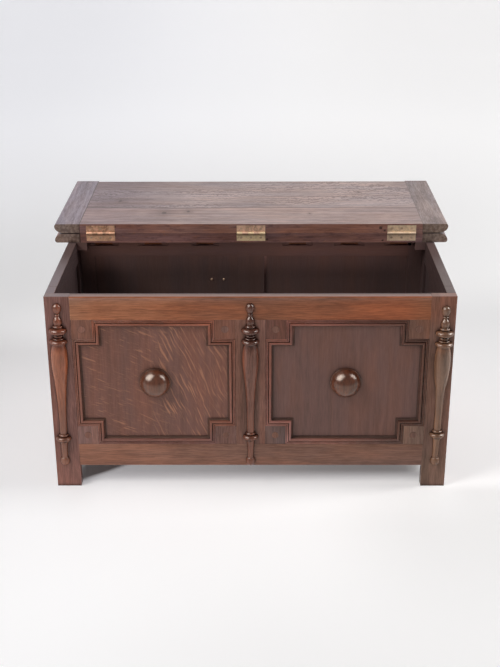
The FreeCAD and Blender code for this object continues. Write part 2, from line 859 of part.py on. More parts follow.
def hinge_recesses(side):
    """Pockets for the plates, barrels and screws in a leaf's hinge edge."""
    face = f"{hinge_y} + half_seam * {side}"
    back = f"{hinge_y} + (half_seam + plate_thickness) * {side}"
    y = (face, back) if side > 0 else (back, face)
    tools = []
    for name, x in hinge_places.items():
        span = (f"{x} - hinge_length / 2", f"{x} + hinge_length / 2")
        tools.append(box(f"plate_recess_{name}", span, y, (f"{hinge_z} - plate_height", hinge_z)))
        start = (f"{span[0]} - knuckle_clearance", hinge_y, hinge_z)
        relief_length = "hinge_length + 2 * knuckle_clearance"
        relief = "knuckle_radius + knuckle_clearance"
        tools.append(cylinder(f"barrel_relief_{name}", start, relief_length, relief, "x"))
        for start, direction in hinge_screw_places(x, side):
            tools.append(cylinder("hinge_screw_hole", start, "hinge_screw_length", "hinge_screw_radius",
                                  direction))
    return tools


def rear_leaf_bites():
    """Holes up into the rear leaf, in its board or a cleat, for the screws from below."""
    places = pocket_screw_places() + batten_screw_places("left") + batten_screw_places("right")
    return [
        cylinder("screw_bite", (x, y, "rim_height"), "screw_bite", "screw_radius", direction)
        for (x, y, _), direction in places
    ]


def rear_leaf():
    """The fixed leaf: one board with a tongued cleat on each end."""
    tongue_y = (f"{rear_y[0]} + tongue_stop", f"{rear_y[1]} - tongue_stop")
    pieces = [box("rear_board_blank", (f"-({board_end})", board_end), rear_y, rear_z)]
    for side in ("left", "right"):
        pieces.append(tongue_box(f"rear_tongue_{side}", side, tongue_y, rear_z))
    tools = hinge_recesses(1) + rear_leaf_bites()
    node("rear_leaf_board", cut("rear_board_cut", fused("rear_board_whole", pieces), tools))
    for side in ("left", "right"):
        cleat = leaf_cleat(f"rear_leaf_cleat_{side}", side, "rear_leaf_depth", rear_y[0], rear_z[0])
        groove = tongue_box(f"rear_groove_{side}", side, tongue_y, rear_z)
        tools = [groove, *rear_leaf_bites()]
        node(f"rear_leaf_cleat_{side}", cut(f"rear_cleat_cut_{side}", cleat, tools))


def leaf_cleat(name, side, length, y, z):
    """A cleat with its outer edge moulded, drawn from its inner edge outwards."""
    sign = 1 if side == "right" else -1
    thickness = size("leaf_thickness") - size("cleat_thinning")
    edges = leaf_section(0, sign * size("cleat_width"), thickness)
    cleat = padded(f"{name}_slab", "XZ_Plane", edges, length)
    return place(cleat, sided(side, (board_end, board_end))[0], y, z)


def front_edge_slab(name, behind, ahead, thickness, x, length):
    """A slab whose front edge is moulded; it runs behind and ahead of the joint between the boards."""
    body = padded(name, "YZ_Plane", leaf_section(behind, -ahead, thickness), length)
    return place(body, x, joint_y, front_z[0])


def mitre_wedge(name, side, x, y):
    """A three-cornered prism over a cleat's outer front corner, its longest face on the mitre."""
    sign = 1 if side == "right" else -1
    spare = size("ovolo_width")
    reach = size("cleat_width") + spare
    outline = Outline((sign * spare, -spare)).line((-sign * reach, reach), (-sign * reach, -spare))
    wedge = padded(name, "XY_Plane", outline.closed(), "3 * leaf_thickness")
    return place(wedge, x, y, f"{front_z[0]} - leaf_thickness")


def front_leaf():
    """The hinged leaf: two boards side by side with a tongued cleat on each end."""
    narrow_depth = size("narrow_board_depth")
    wide_depth = size("front_leaf_depth") - narrow_depth
    board_length = f"2 * ({board_end})"
    tongue_ends = (f"{front_y[0]} + tongue_stop", joint_y, f"{front_y[1]} - tongue_stop")
    narrow = [box("narrow_board_blank", (f"-({board_end})", board_end), (joint_y, front_y[1]), front_z)]
    wide = [front_edge_slab("wide_board_slab", 0, wide_depth, size("leaf_thickness"), f"-({board_end})",
                            board_length)]
    for side in ("left", "right"):
        narrow.append(tongue_box(f"narrow_tongue_{side}", side, tongue_ends[1:], front_z))
        wide.append(tongue_box(f"wide_tongue_{side}", side, tongue_ends[:2], front_z))
    recesses = hinge_recesses(-1)
    narrow_board = cut("narrow_board_cut", fused("narrow_board_whole", narrow), recesses)
    node("front_leaf_board_narrow", folded(narrow_board))
    node("front_leaf_board_wide", folded(fused("wide_board_whole", wide)))

    cleat_start = f"{front_y[0]} - cleat_overrun"
    cleat_length = "front_leaf_depth + cleat_overrun"
    cleat_thickness = size("leaf_thickness") - size("cleat_thinning")
    cleat_ahead = wide_depth + size("cleat_overrun")
    for side in ("left", "right"):
        corner_x = sided(side, ("lid_width / 2", "lid_width / 2"))[0]
        wedge = mitre_wedge(f"front_cleat_wedge_{side}", side, corner_x, cleat_start)
        long_slab = leaf_cleat(f"front_cleat_slab_{side}", side, cleat_length, cleat_start, front_z[0])
        x = sided(side, (board_end, "lid_width / 2 + ovolo_width"))[0]
        end_slab = front_edge_slab(f"front_cleat_end_{side}", narrow_depth, cleat_ahead,
                                   cleat_thickness, x, "cleat_width + ovolo_width")
        mitred_end = doc.addObject("Part::Common", f"front_cleat_mitred_{side}")
        mitred_end.Base = end_slab
        mitred_end.Tool = wedge
        mitred_side = cut(f"front_cleat_side_{side}", long_slab, [wedge])
        blank = fused(f"front_cleat_blank_{side}", [mitred_side, mitred_end])
        groove = tongue_box(f"front_groove_{side}", side, (tongue_ends[0], tongue_ends[2]), front_z)
        cleat = cut(f"front_cleat_cut_{side}", blank, [groove])
        node(f"front_leaf_cleat_{side}", folded(cleat))


def leaf_battens():
    """A batten under each end of the rear leaf, glued to the end wall."""
    for side in ("left", "right"):
        blank = box(f"leaf_batten_blank_{side}", sided(side, batten_x), batten_y, batten_z)
        holes = []
        for start, direction in batten_screw_places(side):
            holes += countersink(f"batten_{side}", start, direction, *WOOD_SCREW, "batten_height")
        node(f"leaf_batten_{side}", cut(f"leaf_batten_cut_{side}", blank, holes))


# Butt hinges let into the meeting edges. The rear plate holds the pin; its knuckles are the odd ones.


def hinge_plate(name, x, side):
    """A plate with its knuckles about the pin line; side is 1 for the rear leaf and -1 for the front."""
    face = f"{hinge_y} + half_seam * {side}"
    back = f"{hinge_y} + (half_seam + plate_thickness) * {side}"
    y = (face, back) if side > 0 else (back, face)
    span = (f"{x} - hinge_length / 2", f"{x} + hinge_length / 2")
    leaf = box(f"{name}_leaf", span, y, (f"{hinge_z} - plate_height", hinge_z))
    pitch = "hinge_length / knuckle_count"
    own = []
    gaps = []
    for number in range(int(size("knuckle_count"))):
        start = f"{span[0]} + {pitch} * {number}"
        if (number % 2 == 0) == (side > 0):
            begin = (f"{start} + knuckle_play / 2", hinge_y, hinge_z)
            own.append(cylinder(f"{name}_knuckle", begin, f"{pitch} - knuckle_play", "knuckle_radius", "x"))
        else:
            gap_radius = "knuckle_radius + knuckle_clearance"
            gaps.append(cylinder(f"{name}_gap", (start, hinge_y, hinge_z), pitch, gap_radius, "x"))
    bore_start = (span[0], hinge_y, hinge_z)
    tools = [cylinder(f"{name}_bore", bore_start, "hinge_length", "pin_radius + pin_clearance", "x")]
    for start, direction in hinge_screw_places(x, side):
        tools += countersink(name, start, direction, *HINGE_SCREW, "plate_thickness")
    return cut(f"{name}_cut", fused(f"{name}_whole", [cut(f"{name}_gapped", leaf, gaps), *own]), tools)


def hinges():
    """Three hinges: a fixed plate, a moving plate and a pin each."""
    for name, x in hinge_places.items():
        node(f"hinge_fixed_plate_{name}", hinge_plate(f"hinge_fixed_{name}", x, 1))
        node(f"hinge_moving_plate_{name}", folded(hinge_plate(f"hinge_moving_{name}", x, -1)))
        pin_start = (f"{x} - hinge_length / 2", hinge_y, hinge_z)
        pin = cylinder(f"hinge_pin_{name}", pin_start, "hinge_length", "pin_radius", "x")
        node(f"hinge_pin_{name}", pin)


def all_screws():
    """Every screw, each kind copied from one pattern."""
    batten_screw = countersunk_screw("batten_screw", *WOOD_SCREW, "batten_height + screw_bite")
    pocket_screw = countersunk_screw("pocket_screw", *WOOD_SCREW, "pocket_ledge + screw_bite")
    hinge_screw = countersunk_screw("hinge_screw", *HINGE_SCREW, "hinge_screw_length")
    round_screw = turned("round_screw", round_screw_outline(), 360)
    fixed = [spot for x in hinge_places.values() for spot in hinge_screw_places(x, 1)]
    moving = [spot for x in hinge_places.values() for spot in hinge_screw_places(x, -1)]
    screws("batten_screws", batten_screw, batten_screw_places("left") + batten_screw_places("right"))
    screws("pocket_screws", pocket_screw, pocket_screw_places())
    screws("back_panel_screws", round_screw, [(start, "-y") for start, _ in back_screw_places()])
    screws("hinge_fixed_screws", hinge_screw, fixed)
    folded(screws("hinge_moving_screws", hinge_screw, moving))


walls()
planted_work()
balusters()
chest_bottom()
rear_leaf()
front_leaf()
leaf_battens()
hinges()
all_screws()

# Everything is recomputed and proved sound before a file is written

doc.recompute()
failed = [thing.Name for thing in doc.Objects if {"Invalid", "Error"} & set(thing.State)]
if failed:
    raise RuntimeError(f"these did not compute: {failed}")
for thing in parts:
    if thing.Shape.isNull() or not thing.Shape.isValid():
        raise RuntimeError(f"{thing.Label} has no sound shape")
os.makedirs("parts", exist_ok=True)
for thing in parts:
    thing.Shape.exportStep(f"parts/{thing.Label}.step")
print(len(parts), "parts")
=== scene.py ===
"""Looks of a joined oak coffer chest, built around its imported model.

Metres, +X right, +Y back, +Z up. The chest stands open with its front leaf folded back on the rear leaf.
"""

import math

import bmesh
import bpy
from mathutils import Matrix, Vector


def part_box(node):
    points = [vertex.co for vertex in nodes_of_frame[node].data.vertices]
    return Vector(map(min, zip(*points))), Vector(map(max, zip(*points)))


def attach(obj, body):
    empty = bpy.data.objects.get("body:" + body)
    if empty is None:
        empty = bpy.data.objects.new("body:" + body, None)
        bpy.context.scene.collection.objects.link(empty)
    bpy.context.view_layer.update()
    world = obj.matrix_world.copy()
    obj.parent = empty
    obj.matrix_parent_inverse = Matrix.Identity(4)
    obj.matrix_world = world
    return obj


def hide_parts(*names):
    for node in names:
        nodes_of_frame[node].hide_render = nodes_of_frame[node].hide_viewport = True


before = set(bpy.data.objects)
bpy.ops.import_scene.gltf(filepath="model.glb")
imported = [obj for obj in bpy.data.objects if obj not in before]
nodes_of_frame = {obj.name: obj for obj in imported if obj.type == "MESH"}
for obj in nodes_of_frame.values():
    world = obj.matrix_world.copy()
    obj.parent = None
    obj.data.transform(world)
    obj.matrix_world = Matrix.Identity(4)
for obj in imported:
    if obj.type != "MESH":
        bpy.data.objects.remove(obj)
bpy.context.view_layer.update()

MM = 0.001
X, Y, Z = range(3)
PLAIN = (1, 1, 1)
FRONT_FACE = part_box("front_top_rail")[0].y
PANEL_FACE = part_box("front_panel_left")[0].y
RIM_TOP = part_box("front_top_rail")[1].z


# Camera, fitted to the photograph's view

IMAGE_HEIGHT = 667
FOCAL_PIXELS = 1157.24
SENSOR = 36
CAMERA_PLACE = Vector((0.0169, FRONT_FACE - 2.548, 1.5166))
CAMERA_PITCH = math.radians(23.27)
CAMERA_YAW = math.radians(0.397)
CAMERA_ROLL = math.radians(-0.186)


def make_camera():
    """The camera where the photograph was taken from."""
    data = bpy.data.cameras.new("camera")
    data.sensor_width = SENSOR
    data.lens = FOCAL_PIXELS / IMAGE_HEIGHT * SENSOR
    data.clip_start = 0.05
    data.clip_end = 200
    camera = bpy.data.objects.new("camera", data)
    bpy.context.scene.collection.objects.link(camera)
    turn = Matrix.Rotation(CAMERA_YAW, 4, "Z") @ Matrix.Rotation(math.pi / 2 - CAMERA_PITCH, 4, "X")
    camera.matrix_world = Matrix.Translation(CAMERA_PLACE) @ turn @ Matrix.Rotation(CAMERA_ROLL, 4, "Z")
    bpy.context.scene.camera = camera


# Shader nodes under short names


class Shader:
    """One node tree, written as expressions."""

    def __init__(self, tree):
        self.tree = tree

    def node(self, kind, settings=None, **inputs):
        made = self.tree.nodes.new(f"ShaderNode{kind}")
        for name, value in (settings or {}).items():
            setattr(made, name, value)
        for name, value in inputs.items():
            self.feed(made.inputs[name.replace("_", " ")], value)
        return made

    def feed(self, socket, value):
        if isinstance(value, bpy.types.NodeSocket):
            self.tree.links.new(value, socket)
        elif value is not None:
            socket.default_value = value

    def math(self, operation, *values):
        made = self.node("Math", {"operation": operation})
        for socket, value in zip(made.inputs, values):
            self.feed(socket, value)
        return made.outputs[0]

    def add(self, first, *others):
        for other in others:
            first = self.math("ADD", first, other)
        return first

    def subtract(self, a, b):
        return self.math("SUBTRACT", a, b)

    def times(self, first, *others):
        for other in others:
            first = self.math("MULTIPLY", first, other)
        return first

    def combine(self, x, y, z):
        return self.node("CombineXYZ", X=x, Y=y, Z=z).outputs[0]

    def split(self, vector):
        return self.node("SeparateXYZ", Vector=vector).outputs

    def vector_math(self, operation, *vectors):
        made = self.node("VectorMath", {"operation": operation})
        for socket, vector in zip(made.inputs, vectors):
            self.feed(socket, vector)
        return made.outputs

    def scaled(self, vector, scale):
        return self.vector_math("MULTIPLY", vector, scale)["Vector"]

    def length(self, vector):
        return self.vector_math("LENGTH", vector)["Value"]

    def normal(self, axis):
        """The surface's normal along one axis of the part."""
        return self.split(self.node("TexCoord").outputs["Normal"])[axis]

    def noise(self, vector, scale=1.0, detail=2.0, roughness=0.5):
        made = self.node("TexNoise", Vector=vector, Scale=scale, Detail=detail, Roughness=roughness)
        return made.outputs["Fac"]

    def remap(self, value, low, high, to_low=0.0, to_high=1.0, smooth=True):
        made = self.node("MapRange", {"interpolation_type": "SMOOTHSTEP" if smooth else "LINEAR"})
        for name, number in (("Value", value), ("From Min", low), ("From Max", high),
                             ("To Min", to_low), ("To Max", to_high)):
            self.feed(made.inputs[name], number)
        return made.outputs["Result"]

    def band(self, value, rise, fall):
        """1 between two ramps, each given from its 0 to its 1, and 0 beyond them."""
        return self.times(self.remap(value, *rise), self.remap(value, *fall))

    def mix_numbers(self, factor, a, b):
        made = self.node("Mix", {"data_type": "FLOAT", "clamp_factor": True})
        for place, value in ((0, factor), (2, a), (3, b)):
            self.feed(made.inputs[place], value)
        return made.outputs[0]

    def mix(self, factor, a, b, blend="MIX"):
        made = self.node("Mix", {"data_type": "RGBA", "blend_type": blend, "clamp_factor": True})
        for place, value in ((0, factor), (6, a), (7, b)):
            self.feed(made.inputs[place], value)
        return made.outputs[2]

    def tinted(self, wood, tint):
        return self.mix(1.0, wood, tint, "MULTIPLY")


def colour(red, green, blue):
    return (red, green, blue, 1.0)


def toned(base, tint):
    """A colour with each channel multiplied by that of a tint."""
    return colour(*(channel * part for channel, part in zip(base, tint)))


def new_material(name):
    """An empty material with a Principled shader, and its tree under short names."""
    material = bpy.data.materials.new(name)
    material.use_nodes = True
    tree = material.node_tree
    shader = Shader(tree)
    surface = next(item for item in tree.nodes if item.type == "BSDF_PRINCIPLED")
    return material, shader, surface


# Oak. A look gives the colours and the strength of the figure; each piece has its own seed and tint.

AXES = {"x": (0, 1, 2), "y": (1, 0, 2), "z": (2, 0, 1)}

OAK_LOOKS = {
    "frame": {
        "dark": colour(0.095, 0.033, 0.018), "light": colour(0.265, 0.098, 0.054),
        "worn": colour(0.38, 0.17, 0.10), "rings": 0.08, "streaks": 0.20, "pores": 0.32,
        "stain": 1.2, "hue": 0.5, "rough": (0.28, 0.40), "ior": 1.45, "gloss": colour(1, 0.86, 0.72),
    },
    "panel": {
        "dark": colour(0.090, 0.034, 0.021), "light": colour(0.185, 0.069, 0.043),
        "worn": colour(0.28, 0.13, 0.08), "rings": 0.06, "streaks": 0.20, "pores": 0.20,
        "stain": 0.8, "hue": 0.5, "rough": (0.30, 0.40), "ior": 1.46, "gloss": colour(1, 0.92, 0.86),
    },
    "turned": {
        "dark": colour(0.070, 0.024, 0.012), "light": colour(0.255, 0.092, 0.046),
        "worn": colour(0.33, 0.15, 0.08), "rings": 0.12, "streaks": 0.36, "pores": 0.15,
        "stain": 1.2, "hue": 0.6, "rough": (0.13, 0.20), "ior": 1.55, "gloss": colour(1, 0.94, 0.88),
    },
    "leaf": {
        "dark": colour(0.160, 0.072, 0.056), "light": colour(0.385, 0.186, 0.148),
        "worn": colour(0.44, 0.25, 0.19), "rings": 0.30, "streaks": 0.40, "pores": 0.25,
        "stain": 1.2, "hue": 0.9, "rough": (0.28, 0.40), "ior": 1.48, "gloss": colour(1, 0.94, 0.88),
    },
    "underside": {
        "dark": colour(0.200, 0.132, 0.122), "light": colour(0.520, 0.385, 0.360),
        "worn": colour(0.44, 0.32, 0.27), "rings": 0.55, "streaks": 0.34, "pores": 0.35,
        "stain": 0.9, "hue": 0.35, "rough": (0.38, 0.48), "ior": 1.75, "gloss": colour(1, 1, 1),
    },
    # Raw wood inside the chest; its colours are kept dark to paint the shade inside the chest as well
    "inner": {
        "dark": colour(0.070, 0.036, 0.032), "light": colour(0.190, 0.102, 0.090),
        "worn": colour(0.20, 0.12, 0.10), "rings": 0.0, "streaks": 0.06, "pores": 0.06,
        "stain": 0.35, "hue": 0.35, "rough": (0.5, 0.65), "ior": 1.45, "gloss": colour(1, 1, 1),
    },
}


RING_TONE = 0.6
STRAIGHT_RING = 19 * MM
WAVY_RING = 17 * MM


def straight_rings(shader, parts):
    """Quarter-sawn figure: rings as soft lines along the board."""
    along, across, through = parts
    waver = shader.noise(shader.combine(shader.times(along, 2.2), shader.times(across, 14), through), 1.0, 2)
    depth = shader.add(shader.math("DIVIDE", across, STRAIGHT_RING), shader.times(waver, 3.5))
    return shader.remap(shader.math("PINGPONG", depth, 0.5), 0.0, 0.5)


def faint_rings(shader, parts):
    """Straight rings with less contrast."""
    contrast = shader.times(shader.subtract(straight_rings(shader, parts), RING_TONE), 0.3)
    return shader.add(contrast, RING_TONE)


def wavy_rings(shader, parts):
    """Flat-sawn figure of a wide board: fine wavering rings in drifts, drawn out along the board."""
    along, across, _ = parts

    def drawn_out(along_scale, across_scale, layer, detail=2, roughness=0.5):
        flat = shader.combine(shader.times(along, along_scale), shader.times(across, across_scale), layer)
        return shader.noise(flat, 1.0, detail, roughness)

    waver = shader.subtract(drawn_out(60, 30, 0.0, 3, 0.65), 0.5)
    sweep = shader.subtract(drawn_out(2.2, 4, 4.0), 0.5)
    depth = shader.add(across, shader.add(shader.times(waver, 0.045), shader.times(sweep, 0.20)))
    phase = shader.math("FRACT", shader.math("DIVIDE", depth, WAVY_RING))
    ring = shader.band(phase, (0.0, 0.45), (1.0, 0.75))
    drifts = shader.remap(drawn_out(3.0, 7, 9.0), 0.36, 0.58)
    return shader.mix_numbers(drifts, RING_TONE, ring)


def grain_figure(shader, parts, axis, seed, rings):
    """Rings, pores, streaks, stain and hue of the wood, drawn out along an axis."""
    along, across, through = (parts[number] for number in AXES[axis])
    moved = (shader.add(along, seed * 1.37), shader.add(across, seed * 0.53), through)
    place = shader.combine(*moved)

    def drawn_out(scale, detail, roughness):
        return shader.noise(shader.scaled(place, scale), 1, detail, roughness)

    return {
        "rings": shader.subtract(rings(shader, moved), RING_TONE),
        "pores": shader.remap(drawn_out((26, 620, 620), 3, 0.7), 0.42, 0.60),
        "streaks": shader.remap(drawn_out((2.6, 85, 85), 5, 0.72), 0.32, 0.68, -0.5, 0.5),
        "stain": shader.subtract(drawn_out((4, 11, 11), 4, 0.62), 0.5),
        "hue": shader.remap(drawn_out((3.1, 17, 17), 3, 0.6), 0.36, 0.64),
    }


def oak_colours(shader, values, tint, grain):
    """Base colour of one look, from the tone and hue of its grain."""
    tone = shader.add(shader.times(grain["streaks"], values["streaks"]),
                      shader.times(grain["stain"], values["stain"]),
                      shader.times(shader.subtract(grain["pores"], 0.8), values["pores"]),
                      shader.times(grain["rings"], values["rings"]))
    tone = shader.remap(tone, -0.42, 0.42, smooth=False)
    wood = shader.mix(tone, toned(values["dark"], tint), toned(values["light"], tint))
    cool = colour(*(1 + values["hue"] * part for part in (-0.12, -0.01, 0.12)))
    warm = colour(*(1 + values["hue"] * part for part in (0.16, 0.0, -0.16)))
    return shader.tinted(wood, shader.mix(grain["hue"], cool, warm))


def facing_up(sign):
    """Where a leaf's raw underside is seen; the sign tells which way it faces while folded open."""
    def mask(shader, parts):
        return shader.remap(shader.times(shader.normal(Z), sign), 0.45, 0.80)
    return mask


PANEL_X = abs(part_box("end_panel_left")[1].x)
PANEL_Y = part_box("front_panel_left")[1].y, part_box("back_panel_left")[0].y


def within_chest(shader, parts):
    """Where a board shows the unpolished inside of the chest, as far out as the panels' inner faces."""
    x, y, z = parts
    outer, inner = 1.0 * MM, 0.4 * MM
    sideways = shader.remap(shader.math("ABSOLUTE", x), PANEL_X + outer, PANEL_X + inner)
    between_panels = shader.band(y, (PANEL_Y[0] - outer, PANEL_Y[0] - inner),
                                 (PANEL_Y[1] + outer, PANEL_Y[1] + inner))
    below_rim = shader.remap(z, RIM_TOP - 1 * MM, RIM_TOP - 3 * MM)
    return shader.times(sideways, between_panels, below_rim)


WEAR_RADIUS = 3 * MM
# Reach and colour of the darkening in corners and recesses, grime together with painted shade
GRIME_AND_SHADE_REACH = 14 * MM
GRIME_AND_SHADE = {"inner": colour(0.95, 0.95, 0.95), "outer": colour(0.14, 0.11, 0.12)}
# The greyer colours of the rim tops, a painted sheen of light reflected at a grazing angle
RIM_SHEEN = colour(0.185, 0.135, 0.132), colour(0.33, 0.245, 0.240)
RIM_RISE = (RIM_TOP - 4 * MM, RIM_TOP - 2 * MM)


def worn_arrises(shader, place):
    """How far the arrises are rubbed, in patches."""
    rounded = shader.node("Bevel", {"samples": 4}, Radius=WEAR_RADIUS).outputs[0]
    facing = shader.vector_math("DOT_PRODUCT", rounded, shader.node("NewGeometry").outputs["Normal"])["Value"]
    patches = shader.remap(shader.noise(place, 38, 4, 0.65), 0.38, 0.66)
    return shader.times(shader.remap(facing, 0.995, 0.90), patches, 0.45)


def oak(name, look, axis, seed, tint=PLAIN, figures=(), rings=straight_rings, second=None, mask=None,
        **changes):
    """An oak surface whose grain runs along an axis, with a second look where a mask says so."""
    values = {**OAK_LOOKS[look], **changes}
    material, shader, surface = new_material(name)
    place = shader.node("TexCoord").outputs["Object"]
    parts = shader.split(place)
    grain = grain_figure(shader, parts, axis, seed, rings)
    wood = oak_colours(shader, values, tint, grain)
    rough_low, rough_high = values["rough"]
    surface.inputs["IOR"].default_value = values["ior"]
    surface.inputs["Specular Tint"].default_value = values["gloss"]
    if second:
        other = OAK_LOOKS[second]
        where = mask(shader, parts)
        other_wood = oak_colours(shader, other, tint if second == "underside" else PLAIN, grain)
        wood = shader.mix(where, wood, other_wood)
        rough_low = shader.remap(where, 0, 1, rough_low, other["rough"][0])
        rough_high = shader.remap(where, 0, 1, rough_high, other["rough"][1])
        shader.feed(surface.inputs["Specular Tint"], shader.mix(where, values["gloss"], other["gloss"]))
    if second == "underside":
        shader.feed(surface.inputs["IOR"], shader.remap(where, 0, 1, values["ior"], other["ior"]))

    # Rim tops painted greyer as a sheen, wear on the arrises, the piece's own figures, and grime with painted
    # shade in the corners
    rubbed = worn_arrises(shader, place)
    grime_and_shade = GRIME_AND_SHADE["inner" if look == "inner" else "outer"]
    if look == "frame":
        # The rim tops painted greyer, as a sheen of reflected light
        top = shader.times(shader.remap(shader.normal(Z), 0.6, 0.95), shader.remap(parts[Z], *RIM_RISE))
        dull = shader.mix(shader.add(grain["stain"], 0.5), *RIM_SHEEN)
        wood = shader.mix(top, wood, dull)
        rubbed = shader.times(rubbed, shader.subtract(1, top))
    if second == "inner":
        rubbed = shader.times(rubbed, shader.subtract(1, where))
        grime_and_shade = shader.mix(where, grime_and_shade, GRIME_AND_SHADE["inner"])
    wood = shader.mix(rubbed, wood, toned(values["worn"], tint))
    for figure in figures:
        wood = figure(shader, parts, wood)
    # Darker where ambient occlusion finds corners and recesses: grime together with painted shade
    hidden = shader.node("AmbientOcclusion", {"samples": 8}, Distance=GRIME_AND_SHADE_REACH).outputs["AO"]
    wood = shader.tinted(wood, shader.mix(shader.remap(hidden, 0.35, 0.95), grime_and_shade, colour(*PLAIN)))

    polish = shader.add(shader.times(grain["stain"], 0.9),
                        shader.times(shader.subtract(1, grain["pores"]), 0.6))
    rough = shader.remap(polish, -0.2, 0.5, rough_low, rough_high, smooth=False)
    height = shader.add(shader.times(grain["pores"], 0.6), shader.times(grain["streaks"], 0.4))
    bump = shader.node("Bump", Strength=0.22, Distance=0.4 * MM, Height=height).outputs[0]
    shader.feed(surface.inputs["Base Color"], wood)
    shader.feed(surface.inputs["Roughness"], rough)
    shader.feed(surface.inputs["Normal"], bump)
    return material


# Each set of rays is a noise drawn out along a slope, in degrees, with its frequencies along and across the
# slope, the noise's range that shows as a ray, the places on X between which it fades in, and its strength.
RAYS = (
    (-23, (24, 215), (0.63, 0.71), (-0.17, -0.27), 0.65),
    (-20, (60, 330), (0.56, 0.70), (-0.10, -0.27), 0.24),
    (-66, (17, 290), (0.585, 0.67), (-0.27, -0.19), 1.0),
    (-62, (36, 330), (0.56, 0.70), (-0.36, -0.14), 0.28),
)


def ray_fleck(shader, parts, wood):
    """Medullary rays of a quarter-sawn panel: shallow dashes at the left, steep lines at the right."""
    x, _, z = parts
    bend = shader.times(shader.noise(shader.combine(x, 0.0, z), 8.0, 2), 0.035)
    drifts = shader.remap(shader.noise(shader.combine(x, 3.0, z), 11.0, 2), 0.35, 0.58, 0.40, 1.0)
    fainter_right = shader.remap(x, -0.03, -0.13, 0.4, 1.0)
    for degrees, (along_scale, across_scale), shown, ends, strength in RAYS:
        angle = math.radians(degrees)
        along = shader.add(shader.times(x, math.cos(angle)), shader.times(z, math.sin(angle)))
        across = shader.subtract(shader.times(z, math.cos(angle)), shader.times(x, math.sin(angle)))
        flat = shader.combine(shader.times(along, along_scale),
                              shader.times(shader.add(across, bend), across_scale), degrees / 10)
        rays = shader.remap(shader.noise(flat, 1.0, 1, 0.35), *shown)
        rays = shader.times(rays, shader.remap(x, *ends), fainter_right, drifts, strength)
        wood = shader.mix(rays, wood, colour(0.41, 0.180, 0.102))
    return wood


def fade(axis, start, end, first=PLAIN, last=PLAIN):
    """A change of tint from one place on an axis to another."""
    def figure(shader, parts, wood):
        tint = shader.mix(shader.remap(parts[axis], start, end), colour(*first), colour(*last))
        return shader.tinted(wood, tint)
    return figure


def tinted(*tint):
    """A constant tint."""
    def figure(shader, parts, wood):
        return shader.tinted(wood, colour(*tint))
    return figure


def beyond(axis, start, end, figure):
    """A figure limited to one end of an axis, which it reaches between two places."""
    def limited(shader, parts, wood):
        return shader.mix(shader.remap(parts[axis], start, end), wood, figure(shader, parts, wood))
    return limited


def on_top(figure):
    """A figure limited to the top of the rim."""
    return beyond(Z, *RIM_RISE, figure)


def below_top(figure):
    """A figure that spares the top of the rim."""
    return beyond(Z, *reversed(RIM_RISE), figure)


def at_hinges(figure):
    """A figure limited to the front edge of a leaf, where the hinges are."""
    return beyond(Y, 4 * MM, 2 * MM, figure)


def inside(figure):
    """A figure limited to the inside of the chest."""
    def limited(shader, parts, wood):
        return shader.mix(within_chest(shader, parts), wood, figure(shader, parts, wood))
    return limited


def edge_shade_patches(shader, parts, wood):
    """Painted shade on the faces along the front edge of a leaf, in dark patches, with reddish patches."""
    facing = shader.math("ABSOLUTE", shader.normal(Y))
    place = shader.scaled(shader.combine(*parts), (22, 40, 90))
    dark = shader.remap(shader.noise(place, 1, 4, 0.7), 0.50, 0.66)
    warm = shader.remap(shader.noise(place, 1.7, 3, 0.6), 0.56, 0.68)
    patched = shader.mix(shader.times(dark, 0.5), wood, colour(0.075, 0.036, 0.040))
    patched = shader.mix(shader.times(warm, 0.45), patched, colour(0.36, 0.145, 0.075))
    return shader.mix(shader.remap(facing, 0.5, 0.8), wood, patched)


def seam(axis, place, half_width=1.6 * MM, strength=0.75):
    """A dark joint line at a place on an axis."""
    def figure(shader, parts, wood):
        away = shader.math("ABSOLUTE", shader.subtract(parts[axis], place))
        line = shader.remap(away, half_width, half_width * 0.4)
        return shader.mix(shader.times(line, strength), wood, colour(0.045, 0.026, 0.022))
    return figure


def ragged(shader, away, place, scale, size):
    """A distance whose rim wavers by about a size."""
    return shader.add(away, shader.times(shader.subtract(shader.noise(place, scale, 3), 0.5), size))


def knot(place_x, place_y, size):
    """A small dark knot in the leaf, drawn out across the grain, with a shaded halo."""
    def figure(shader, parts, wood):
        x, y, _ = parts
        away = shader.length(shader.combine(shader.times(shader.subtract(x, place_x), 0.8),
                                            shader.times(shader.subtract(y, place_y), 0.5), 0.0))
        away = ragged(shader, away, shader.combine(x, y, 0.0), 160, size * 1.6)
        halo = shader.times(shader.remap(away, size * 3.5, size), 0.35)
        heart = shader.times(shader.remap(away, size, size * 0.35), 0.8)
        wood = shader.mix(halo, wood, colour(0.15, 0.085, 0.065))
        return shader.mix(heart, wood, colour(0.07, 0.035, 0.028))
    return figure


def chip(place_x, place_z, size):
    """A small dark chip in a leaf's front edge."""
    def figure(shader, parts, wood):
        x, _, z = parts
        away = shader.length(shader.combine(shader.subtract(x, place_x), 0.0, shader.subtract(z, place_z)))
        away = ragged(shader, away, shader.combine(x, 0.0, z), 320, size * 1.8)
        heart = shader.times(shader.remap(away, size, size * 0.4), 0.85)
        return shader.mix(heart, wood, colour(0.035, 0.020, 0.018))
    return figure


def mottled(shader, parts, wood):
    """Darker worn patches."""
    patches = shader.noise(shader.scaled(shader.combine(*parts), (30, 14, 30)), 1, 4, 0.7)
    return shader.mix(shader.times(shader.remap(patches, 0.48, 0.62), 0.45), wood, colour(0.13, 0.080, 0.065))


def end_grain(shader, parts, wood):
    """Greyer end grain on the ends of a cleat."""
    facing = shader.math("ABSOLUTE", shader.normal(Y))
    speckle = shader.remap(shader.noise(shader.combine(*parts), 110, 3, 0.6), 0.35, 0.65)
    grey = shader.mix(speckle, colour(0.10, 0.070, 0.052), colour(0.27, 0.205, 0.155))
    return shader.mix(shader.times(shader.remap(facing, 0.15, 0.45), 0.75), wood, grey)


